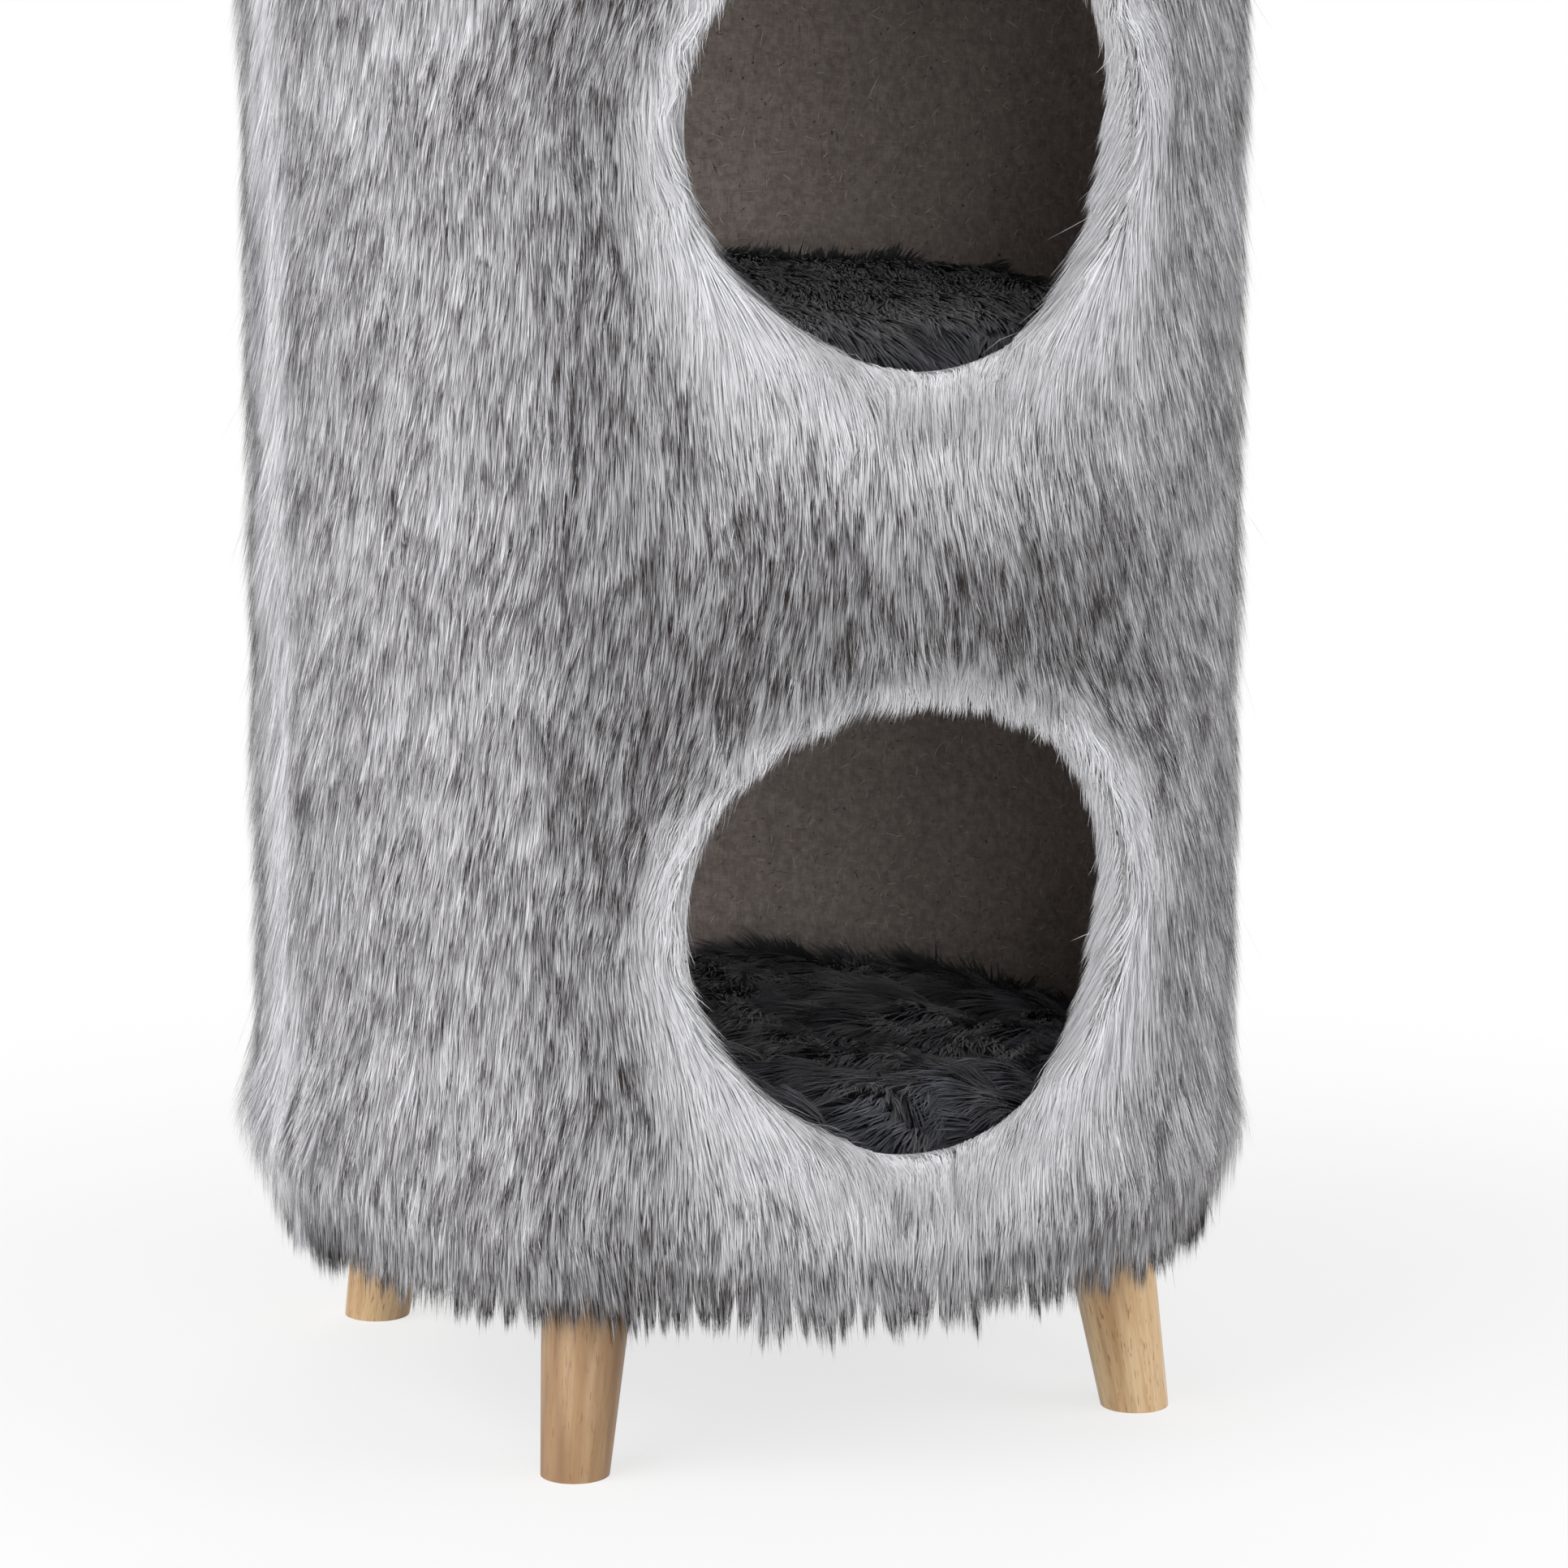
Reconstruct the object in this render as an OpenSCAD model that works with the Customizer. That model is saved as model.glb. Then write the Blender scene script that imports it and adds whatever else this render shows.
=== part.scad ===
// Cat barrel: a round, fur-covered tower with two caves, a doorway into each, an open bed on top,
// three loose cushions and four splayed wooden legs.
// Millimetres. +Z is up, the origin is on the floor at the barrel's axis, and the doorways face -Y.

/* [Barrel] */
// Outside diameter of the paperboard tube
tube_d = 360; // [350:1:380]
// Wall thickness of the paperboard tube
tube_wall = 5; // [4:0.5:7]
// Height of the base board's underside above the floor
base_h = 96; // [90:1:110]
// Clear height inside each cave, from board to board
cave_h = 283; // [265:1:310]
// Height of the tube's rim above the top board
rim_h = 60; // [50:1:80]
// Thickness of the base board, the middle shelf and the top board
board_t = 12; // [12:0.5:18]
// Gap all round between a board's edge and the tube's bore
board_gap = 0.3; // [0.2:0.1:0.6]

/* [Doorways] */
// Diameter of the round hole in the tube at each doorway
door_d = 180; // [165:1:185]
// Height of a doorway's centre above the board that it stands on
door_h = 109; // [106:1:125]

/* [Lining] */
// Thickness of the felt on the cave walls
liner_t = 1.5; // [1:0.1:3]
// Thickness of the felt on the floors and ceilings
felt_t = 1.5; // [1:0.1:3]
// Thickness of the glue between felt and what it is stuck to
glue_t = 0.2; // [0.1:0.05:0.3]
// Gap between the edge of a round felt and the felt on the wall
felt_gap = 0.5; // [0.3:0.1:0.9]

/* [Fur cover] */
// Depth of the fur on the outside of the tube
pile_t = 20; // [12:1:24]
// Depth of the fur on top of the rim
rim_pile_t = 12; // [11:1:20]
// Depth of the fur turned down inside the rim
inner_pile_t = 7; // [4:0.5:10]
// Depth of the fur turned in through a doorway
lip_t = 6; // [3:0.5:9]
// Drop of the fur below the tube
pile_drop = 18; // [12:1:24]
// Radius of the cover's rounded outer edges
pile_round = 10; // [6:1:11]
// Radius of the cover's rounded edge inside the rim
inner_round = 6; // [4:1:8]
// Clearance between the cover and what it wraps
cover_gap = 0.2; // [0.1:0.05:0.3]
// Width of the hem turned under the base, from the tube's outside
hem_w = 60; // [58:1:75]
// Thickness of the hem
hem_t = 1.2; // [0.8:0.1:2]

/* [Underside cloth] */
// Distance from the tube's outside in to the edge of the cloth under the base
cloth_inset = 20; // [10:1:26]
// Thickness of the cloth under the base
cloth_t = 0.8; // [0.5:0.1:1.5]
// Distance of the staples from the edge of the cloth
staple_inset = 9; // [8:1:11]
// Width of a staple's crown
staple_w = 10; // [8:0.5:12]
// Length of a staple's prongs
staple_l = 8; // [6:0.5:10]
// Thickness of the staple wire
staple_wire = 1; // [0.8:0.1:1.4]

/* [Legs] */
// Angle between a leg and the vertical
leg_splay = 10; // [6:0.5:12]
// Distance from the tube's outside in to a leg's axis at the base board's underside
leg_inset = 30; // [28:1:36]
// Diameter of a leg at its top
leg_top_d = 37; // [34:0.5:40]
// Diameter of a leg at the floor
foot_d = 26.5; // [22:0.5:30]

/* [Leg plates] */
// Width of a square leg plate
plate_w = 50; // [46:1:52]
// Thickness of a leg plate
plate_t = 2; // [1.5:0.1:3]
// Diameter of a leg plate's slanted boss
boss_d = 32; // [24:1:33]
// Height of the boss along the leg's axis
boss_h = 5; // [4.5:0.5:8]
// Distance between neighbouring screws in a leg plate
plate_pitch = 38; // [36:0.5:38]

/* [Fasteners] */
// Diameter of the hanger bolts
bolt_d = 8; // [6:1:10]
// Length of a hanger bolt inside its leg
bolt_in_leg = 28; // [20:1:35]
// Length of a hanger bolt above its leg
bolt_above_leg = 12; // [8:1:13]
// Clearance round a bolt in the leg and in the plate
bolt_gap = 0.1; // [0.05:0.05:0.3]
// Clearance round a bolt's end in the base board and the layers under it
bolt_end_gap = 2; // [1:0.5:3]
// Diameter of all wood screws
screw_d = 4; // [3.5:0.1:4.5]
// Diameter of a wood screw's head
screw_head_d = 8; // [7.5:0.1:8.5]
// Height of a countersunk head
csk_head_h = 2.4; // [2:0.1:2.8]
// Height of a pan head
pan_head_h = 2.6; // [2:0.1:3]
// Length of a leg plate screw below its head
plate_screw_l = 13; // [10:0.5:13.5]
// Length of a board screw, head included
board_screw_l = 30; // [20:1:35]
// Depth of a board screw's head below the tube's outside
head_recess = 0.3; // [0.2:0.1:0.6]
// Screws round the edge of each board
board_screws = 8; // [4:4:12]
// Clearance round a screw's thread in its pilot hole
pilot_gap = 0.05; // [0.03:0.01:0.1]
// Clearance round a screw in a hole that it passes through
pass_gap = 0.3; // [0.2:0.1:0.5]

/* [Cushions] */
// Thickness of a cave cushion at its crown
cave_cushion_h = 40; // [32:1:44]
// Thickness of the top cushion at its crown
top_cushion_h = 36; // [30:1:44]
// Thickness of a cushion at its edge
cushion_edge_h = 12; // [10:1:18]
// Gap between a cushion's side and the wall round it
cushion_side_gap = 2; // [1:0.5:6]
// Clearance between a cushion and the felt that it lies on
cushion_rest_gap = 0.3; // [0.2:0.1:0.5]
// Thickness of the plush cover of a cushion
plush_t = 2; // [1.5:0.1:3]
// Clearance between a cushion's cover and its filling
filling_gap = 0.3; // [0.2:0.1:0.5]

/* [Hidden] */

$fn = 96;
fine_fn = 32;      // facets of small round parts
cut = 1;           // overshoot of a cutting solid past the face that it cuts
arc_steps = 6;     // straight pieces in a rounded corner
dome_steps = 10;   // straight pieces in a cushion's crown

// Underside of each board
shelf_z = base_h + board_t + cave_h;
top_board_z = shelf_z + board_t + cave_h;

// Upper face of each board
lower_floor = base_h + board_t;
upper_floor = shelf_z + board_t;
top_floor = top_board_z + board_t;
function felt_top(floor_z) = floor_z + glue_t + felt_t;

// Radii, from the outside in
tube_r = tube_d / 2;
bore_r = tube_r - tube_wall;
board_r = bore_r - board_gap;
liner_outer_r = bore_r - glue_t;
liner_inner_r = liner_outer_r - liner_t;
cover_r = tube_r + cover_gap + pile_t;
rim_inner_r = bore_r - cover_gap - inner_pile_t;
cloth_r = tube_r - cloth_inset;
leg_ring_r = tube_r - leg_inset;
door_r = door_d / 2;
lip_outer_r = door_r - cover_gap;
lip_inner_r = lip_outer_r - lip_t;

// Heights of the rim
tube_top = top_floor + rim_h;
cover_top = tube_top + cover_gap + rim_pile_t;

// Layers under the base board, from the top down
hem_top = base_h - cover_gap;
hem_bottom = hem_top - hem_t;
cloth_bottom = hem_bottom - cloth_t;
plate_bottom = cloth_bottom - plate_t;

// Legs, by the angle from +X at which they stand
front_left_angle = 225;
front_right_angle = 315;
rear_left_angle = 135;
rear_right_angle = 45;
LEG_ANGLES = [front_left_angle, front_right_angle, rear_left_angle, rear_right_angle];
axis_to_floor = base_h / cos(leg_splay);
axis_to_seat = (base_h - plate_bottom) / cos(leg_splay) + boss_h;
leg_l = axis_to_floor - axis_to_seat;
foot_cut_l = foot_d;    // extra length that the level foot is cut from
pass_d = screw_d + 2 * pass_gap;
pilot_d = screw_d + 2 * pilot_gap;
bolt_hole_d = bolt_d + 2 * bolt_gap;
bolt_room_d = bolt_d + 2 * bolt_end_gap;

// The board screws stand half a step away from the legs
screw_step = 360 / board_screws;
function screw_angle(i) = (i + 0.5) * screw_step;

// Points on a quarter of a circle round (x, y), from angle a to angle b
function arc(x, y, r, a, b) =
    [for (i = [0 : arc_steps]) let (t = a + (b - a) * i / arc_steps) [x + r * cos(t), y + r * sin(t)]];

// ---------- Shared shapes ----------

module ring(outer_r, inner_r, low, high) {
    translate([0, 0, low])
        difference() {
            cylinder(r = outer_r, h = high - low);
            translate([0, 0, -cut]) cylinder(r = inner_r, h = high - low + 2 * cut);
        }
}

// A round bar from the barrel's axis out through a doorway
module door_bar(floor_z, r) {
    translate([0, 0, floor_z + door_h])
        rotate([90, 0, 0]) cylinder(r = r, h = cover_r + cut);
}

// Children stand on the leg's axis, with z = 0 at the base board's underside and +z up the leg
module on_leg_axis(angle) {
    rotate([0, 0, angle])
        translate([leg_ring_r, 0, base_h])
            rotate([0, -leg_splay, 0]) children();
}

// Children stand at the four screws of one leg plate, on the floor's level
module at_plate_screws(angle) {
    rotate([0, 0, angle])
        for (x = [-1, 1], y = [-1, 1])
            translate([leg_ring_r + x * plate_pitch / 2, y * plate_pitch / 2, 0]) children();
}

// Holes for leg plate screws and hanger bolts through what lies between the plates and the board
module underside_holes() {
    for (angle = LEG_ANGLES) {
        at_plate_screws(angle)
            translate([0, 0, plate_bottom]) cylinder(d = pass_d, h = base_h - plate_bottom, $fn = fine_fn);
        on_leg_axis(angle)
            translate([0, 0, -axis_to_seat])
                cylinder(d = bolt_room_d, h = axis_to_seat + bolt_above_leg, $fn = fine_fn);
    }
}

// Children point outward along +z, with z = 0 at the head of each board screw
module at_board_screws(z) {
    for (i = [0 : board_screws - 1])
        rotate([0, 0, screw_angle(i)])
            translate([tube_r - head_recess, 0, z + board_t / 2])
                rotate([0, 90, 0]) children();
}

// ---------- Tube and boards ----------

// A screw's hole in the tube: a passing hole with a countersink that opens to the outside
module tube_screw_hole() {
    translate([0, 0, -tube_wall - cut]) cylinder(d = pass_d, h = tube_wall + 2 * cut, $fn = fine_fn);
    translate([0, 0, -csk_head_h - pilot_gap])
        cylinder(d1 = pass_d, d2 = screw_head_d + 2 * pass_gap, h = csk_head_h, $fn = fine_fn);
    translate([0, 0, -2 * pilot_gap])
        cylinder(d = screw_head_d + 2 * pass_gap, h = head_recess + cut, $fn = fine_fn);
}

module barrel_tube() {
    color("tan")
        difference() {
            ring(tube_r, bore_r, base_h, tube_top);
            door_bar(lower_floor, door_r);
            door_bar(upper_floor, door_r);
            for (z = [base_h, shelf_z, top_board_z])
                at_board_screws(z) tube_screw_hole();
        }
}

// A board whose underside lies at z
module board(z) {
    difference() {
        translate([0, 0, z]) cylinder(r = board_r, h = board_t);
        at_board_screws(z)
            translate([0, 0, -board_screw_l - cut])
                cylinder(d = pilot_d, h = board_screw_l, $fn = fine_fn);
    }
}

module base_board() {
    color("burlywood")
        difference() {
            board(base_h);
            for (angle = LEG_ANGLES) {
                at_plate_screws(angle)
                    translate([0, 0, plate_bottom])
                        cylinder(d = pilot_d, h = plate_screw_l + pilot_gap, $fn = fine_fn);
                on_leg_axis(angle)
                    translate([0, 0, -axis_to_seat])
                        cylinder(d = bolt_room_d, h = bolt_above_leg + cut, $fn = fine_fn);
            }
        }
}

module middle_shelf() { color("burlywood") board(shelf_z); }

module top_board() { color("burlywood") board(top_board_z); }

// ---------- Felt lining ----------

module wall_liner(floor_z) {
    color("dimgray")
        difference() {
            ring(liner_outer_r, liner_inner_r, floor_z + glue_t, floor_z + cave_h - glue_t);
            door_bar(floor_z, door_r);
        }
}

module floor_felt(floor_z, r) {
    color("dimgray")
        translate([0, 0, floor_z + glue_t]) cylinder(r = r, h = felt_t);
}

module ceiling_felt(floor_z) {
    color("dimgray")
        translate([0, 0, floor_z + cave_h - glue_t - felt_t])
            cylinder(r = liner_inner_r - felt_gap, h = felt_t);
}

module lower_wall_liner() { wall_liner(lower_floor); }

module upper_wall_liner() { wall_liner(upper_floor); }

module lower_floor_felt() { floor_felt(lower_floor, liner_inner_r - felt_gap); }

module upper_floor_felt() { floor_felt(upper_floor, liner_inner_r - felt_gap); }

module top_floor_felt() { floor_felt(top_floor, bore_r - felt_gap); }

module lower_ceiling_felt() { ceiling_felt(lower_floor); }

module upper_ceiling_felt() { ceiling_felt(upper_floor); }

// ---------- Fur cover ----------

// Half section: hem, hanging edge, outside, rim, and the edge turned down inside the rim
module cover_section() {
    polygon(concat(
        [[tube_r - hem_w, hem_top],
         [tube_r - hem_w, hem_bottom],
         [tube_r + cover_gap, hem_bottom],
         [tube_r + cover_gap, base_h - pile_drop]],
        arc(cover_r - pile_round, base_h - pile_drop + pile_round, pile_round, -90, 0),
        arc(cover_r - pile_round, cover_top - pile_round, pile_round, 0, 90),
        arc(rim_inner_r + inner_round, cover_top - inner_round, inner_round, 90, 180),
        [[rim_inner_r, felt_top(top_floor) + cover_gap],
         [bore_r - cover_gap, felt_top(top_floor) + cover_gap],
         [bore_r - cover_gap, tube_top + cover_gap],
         [tube_r + cover_gap, tube_top + cover_gap],
         [tube_r + cover_gap, hem_top]]
    ));
}

// The cover's edge turned in through a doorway, before the doorway is cut through it
module turned_in_edge(floor_z) {
    intersection() {
        door_bar(floor_z, lip_outer_r);
        ring(cover_r - pile_round, liner_inner_r, floor_z, floor_z + cave_h);
    }
}

module fur_cover() {
    color("silver")
        difference() {
            union() {
                rotate_extrude() cover_section();
                turned_in_edge(lower_floor);
                turned_in_edge(upper_floor);
            }
            door_bar(lower_floor, lip_inner_r);
            door_bar(upper_floor, lip_inner_r);
            underside_holes();
        }
}

// ---------- Underside ----------

module underside_cloth() {
    color("black")
        difference() {
            translate([0, 0, cloth_bottom]) cylinder(r = cloth_r, h = cloth_t);
            underside_holes();
        }
}

// A staple hangs from z = 0 by its prongs, with its crown along y
module staple() {
    translate([-staple_wire / 2, -staple_w / 2, -staple_wire]) cube([staple_wire, staple_w, staple_wire]);
    for (side = [-1, 1])
        translate([-staple_wire / 2, side * (staple_w - staple_wire) / 2 - staple_wire / 2, -staple_wire / 2])
            cube([staple_wire, staple_wire, staple_l + staple_wire / 2]);
}

// Staples stand between the legs, clear of the leg plates
module underside_staples() {
    staple_spread = 56;     // degrees between the first and the last staple of a group
    staple_gaps = 4;        // gaps between the staples of a group
    color("silver")
        for (angle = LEG_ANGLES, i = [0 : staple_gaps])
            rotate([0, 0, angle + 45 + staple_spread * (i / staple_gaps - 0.5)])
                translate([cloth_r - staple_inset, 0, cloth_bottom]) staple();
}

// ---------- Legs and their hardware ----------

module leg(angle) {
    taper = (leg_top_d - foot_d) / leg_l;
    color("wheat")
        difference() {
            on_leg_axis(angle)
                translate([0, 0, -axis_to_floor - foot_cut_l])
                    cylinder(d1 = foot_d - taper * foot_cut_l, d2 = leg_top_d, h = leg_l + foot_cut_l);
            translate([-cover_r, -cover_r, -2 * foot_cut_l]) cube([2 * cover_r, 2 * cover_r, 2 * foot_cut_l]);
            on_leg_axis(angle)
                translate([0, 0, -axis_to_seat - bolt_in_leg - cut])
                    cylinder(d = bolt_hole_d, h = bolt_in_leg + 2 * cut, $fn = fine_fn);
        }
}

module leg_plate(angle) {
    color("slategray")
        difference() {
            union() {
                rotate([0, 0, angle])
                    translate([leg_ring_r - plate_w / 2, -plate_w / 2, plate_bottom])
                        cube([plate_w, plate_w, plate_t]);
                intersection() {
                    on_leg_axis(angle)
                        translate([0, 0, -axis_to_seat]) cylinder(d = boss_d, h = axis_to_seat, $fn = 64);
                    translate([-cover_r, -cover_r, 0])
                        cube([2 * cover_r, 2 * cover_r, plate_bottom + plate_t / 2]);
                }
            }
            at_plate_screws(angle)
                translate([0, 0, plate_bottom - cut]) cylinder(d = pass_d, h = plate_t + 2 * cut, $fn = fine_fn);
            on_leg_axis(angle)
                translate([0, 0, -axis_to_seat - cut])
                    cylinder(d = bolt_hole_d, h = axis_to_seat + 2 * cut, $fn = fine_fn);
        }
}

module hanger_bolt(angle) {
    tip_h = bolt_d / 4;
    low = -axis_to_seat - bolt_in_leg;
    high = -axis_to_seat + bolt_above_leg;
    color("lightgray")
        on_leg_axis(angle)
            rotate_extrude($fn = fine_fn)
                polygon([
                    [0, low], [bolt_d / 4, low], [bolt_d / 2, low + tip_h],
                    [bolt_d / 2, high - tip_h], [bolt_d / 4, high], [0, high]
                ]);
}

// Two crossed slots in the face of a head at z = 0, cut towards +z
module cross_recess() {
    slot_w = screw_d / 4;
    slot_l = screw_d;
    depth = screw_d / 4;
    for (turn = [0, 90])
        rotate([0, 0, turn])
            translate([-slot_l / 2, -slot_w / 2, -cut]) cube([slot_l, slot_w, depth + cut]);
}

// Shank with a point, from z = 0 up
module screw_shank(l) {
    point_l = screw_d;
    cylinder(d = screw_d, h = l - point_l, $fn = fine_fn);
    translate([0, 0, l - point_l]) cylinder(d1 = screw_d, d2 = screw_d / 4, h = point_l, $fn = fine_fn);
}

module pan_screw() {
    rim_h_of_head = pan_head_h / 2;
    difference() {
        union() {
            translate([0, 0, -rim_h_of_head]) cylinder(d = screw_head_d, h = rim_h_of_head, $fn = fine_fn);
            translate([0, 0, -pan_head_h])
                cylinder(d1 = screw_head_d * 0.7, d2 = screw_head_d, h = pan_head_h - rim_h_of_head, $fn = fine_fn);
            screw_shank(plate_screw_l);
        }
        translate([0, 0, -pan_head_h]) cross_recess();
    }
}

module csk_screw() {
    difference() {
        union() {
            cylinder(d1 = screw_head_d, d2 = screw_d, h = csk_head_h, $fn = fine_fn);
            translate([0, 0, csk_head_h]) screw_shank(board_screw_l - csk_head_h);
        }
        cross_recess();
    }
}

module leg_plate_screws() {
    color("gainsboro")
        for (angle = LEG_ANGLES)
            at_plate_screws(angle) translate([0, 0, plate_bottom]) pan_screw();
}

module board_screw_set(z) {
    color("gainsboro")
        at_board_screws(z) rotate([180, 0, 0]) csk_screw();
}

module base_board_screws() { board_screw_set(base_h); }

module middle_shelf_screws() { board_screw_set(shelf_z); }

module top_board_screws() { board_screw_set(top_board_z); }

module leg_front_left() { leg(front_left_angle); }

module leg_front_right() { leg(front_right_angle); }

module leg_rear_left() { leg(rear_left_angle); }

module leg_rear_right() { leg(rear_right_angle); }

module leg_plate_front_left() { leg_plate(front_left_angle); }

module leg_plate_front_right() { leg_plate(front_right_angle); }

module leg_plate_rear_left() { leg_plate(rear_left_angle); }

module leg_plate_rear_right() { leg_plate(rear_right_angle); }

module hanger_bolt_front_left() { hanger_bolt(front_left_angle); }

module hanger_bolt_front_right() { hanger_bolt(front_right_angle); }

module hanger_bolt_rear_left() { hanger_bolt(rear_left_angle); }

module hanger_bolt_rear_right() { hanger_bolt(rear_right_angle); }

// ---------- Cushions ----------

// Half section of a cushion of radius r and crown height h, drawn in by inset on every side:
// a flat underside, a rounded edge and a crown that falls away as a parabola
module cushion_section(r, h, inset) {
    edge_r = cushion_edge_h / 2 - inset;
    edge_x = r - cushion_edge_h / 2;
    crown = h - cushion_edge_h;
    polygon(concat(
        [[0, inset]],
        arc(edge_x, cushion_edge_h / 2, edge_r, -90, 90),
        [for (i = [1 : dome_steps])
            let (x = edge_x * (1 - i / dome_steps))
            [x, cushion_edge_h - inset + crown * (1 - pow(x / edge_x, 2))]]
    ));
}

module cushion_solid(floor_z, r, h, inset) {
    translate([0, 0, felt_top(floor_z) + cushion_rest_gap])
        rotate_extrude() cushion_section(r, h, inset);
}

module cushion_cover(floor_z, r, h) {
    color([0.2, 0.2, 0.22])
        difference() {
            cushion_solid(floor_z, r, h, 0);
            cushion_solid(floor_z, r, h, plush_t);
        }
}

module cushion_filling(floor_z, r, h) {
    color("white") cushion_solid(floor_z, r, h, plush_t + filling_gap);
}

cave_cushion_r = liner_inner_r - cushion_side_gap;
top_cushion_r = rim_inner_r - cushion_side_gap;

module lower_cushion_cover() { cushion_cover(lower_floor, cave_cushion_r, cave_cushion_h); }

module lower_cushion_filling() { cushion_filling(lower_floor, cave_cushion_r, cave_cushion_h); }

module upper_cushion_cover() { cushion_cover(upper_floor, cave_cushion_r, cave_cushion_h); }

module upper_cushion_filling() { cushion_filling(upper_floor, cave_cushion_r, cave_cushion_h); }

module top_cushion_cover() { cushion_cover(top_floor, top_cushion_r, top_cushion_h); }

module top_cushion_filling() { cushion_filling(top_floor, top_cushion_r, top_cushion_h); }

barrel_tube();
base_board();
middle_shelf();
top_board();
lower_wall_liner();
upper_wall_liner();
lower_floor_felt();
upper_floor_felt();
top_floor_felt();
lower_ceiling_felt();
upper_ceiling_felt();
fur_cover();
underside_cloth();
underside_staples();
leg_front_left();
leg_front_right();
leg_rear_left();
leg_rear_right();
leg_plate_front_left();
leg_plate_front_right();
leg_plate_rear_left();
leg_plate_rear_right();
hanger_bolt_front_left();
hanger_bolt_front_right();
hanger_bolt_rear_left();
hanger_bolt_rear_right();
leg_plate_screws();
base_board_screws();
middle_shelf_screws();
top_board_screws();
lower_cushion_cover();
lower_cushion_filling();
upper_cushion_cover();
upper_cushion_filling();
top_cushion_cover();
top_cushion_filling();
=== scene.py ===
import bpy, bmesh, math
import numpy as np
from math import radians
from mathutils import Vector, Matrix
from types import SimpleNamespace

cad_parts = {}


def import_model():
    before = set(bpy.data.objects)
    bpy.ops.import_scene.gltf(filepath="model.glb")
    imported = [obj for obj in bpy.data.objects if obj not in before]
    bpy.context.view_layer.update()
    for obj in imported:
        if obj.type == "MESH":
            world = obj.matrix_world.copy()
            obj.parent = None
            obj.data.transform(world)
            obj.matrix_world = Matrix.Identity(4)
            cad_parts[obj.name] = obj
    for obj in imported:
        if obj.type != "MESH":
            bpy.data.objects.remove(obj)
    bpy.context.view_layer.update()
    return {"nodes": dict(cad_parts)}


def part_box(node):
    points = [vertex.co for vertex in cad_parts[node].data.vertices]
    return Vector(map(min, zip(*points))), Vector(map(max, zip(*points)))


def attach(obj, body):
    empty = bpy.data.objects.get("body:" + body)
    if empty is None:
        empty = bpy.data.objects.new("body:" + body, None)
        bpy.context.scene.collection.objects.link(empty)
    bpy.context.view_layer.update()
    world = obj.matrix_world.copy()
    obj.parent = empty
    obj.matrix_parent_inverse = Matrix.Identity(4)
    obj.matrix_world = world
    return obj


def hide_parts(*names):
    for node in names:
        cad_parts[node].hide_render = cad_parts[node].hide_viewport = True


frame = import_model()
nodes = frame["nodes"]
MM = 0.001

# ---- places, from the CAD

def top_of(node):
    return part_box(node)[1][2]


def low_of(node):
    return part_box(node)[0][2]


TUBE_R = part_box("barrel_tube")[1][0]
TUBE_TOP = top_of("barrel_tube")
BASE_Z = low_of("base_board")
FLOORS = [top_of(n) for n in ("base_board", "middle_shelf", "top_board")]
DOOR_UP = 0.109  # a doorway's centre over its cave's floor board
DOORS = [FLOORS[0] + DOOR_UP, FLOORS[1] + DOOR_UP]
BORE_R = TUBE_R - 5 * MM

# The skin that the fur grows from: its radius, its doorways' radius, and how round its folds are
SKIN_R = TUBE_R + 6.5 * MM
DOOR_R = 89.6 * MM
FOLD = 7 * MM
SKIN_TOP = TUBE_TOP + 4 * MM
SKIN_LOW = BASE_Z - 4 * MM
AROUND = 2 * np.pi * SKIN_R
DOORWAY = 89.75 * MM  # the backing cloth's own opening, just inside the tube's cut edge

# ---- node helpers

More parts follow.
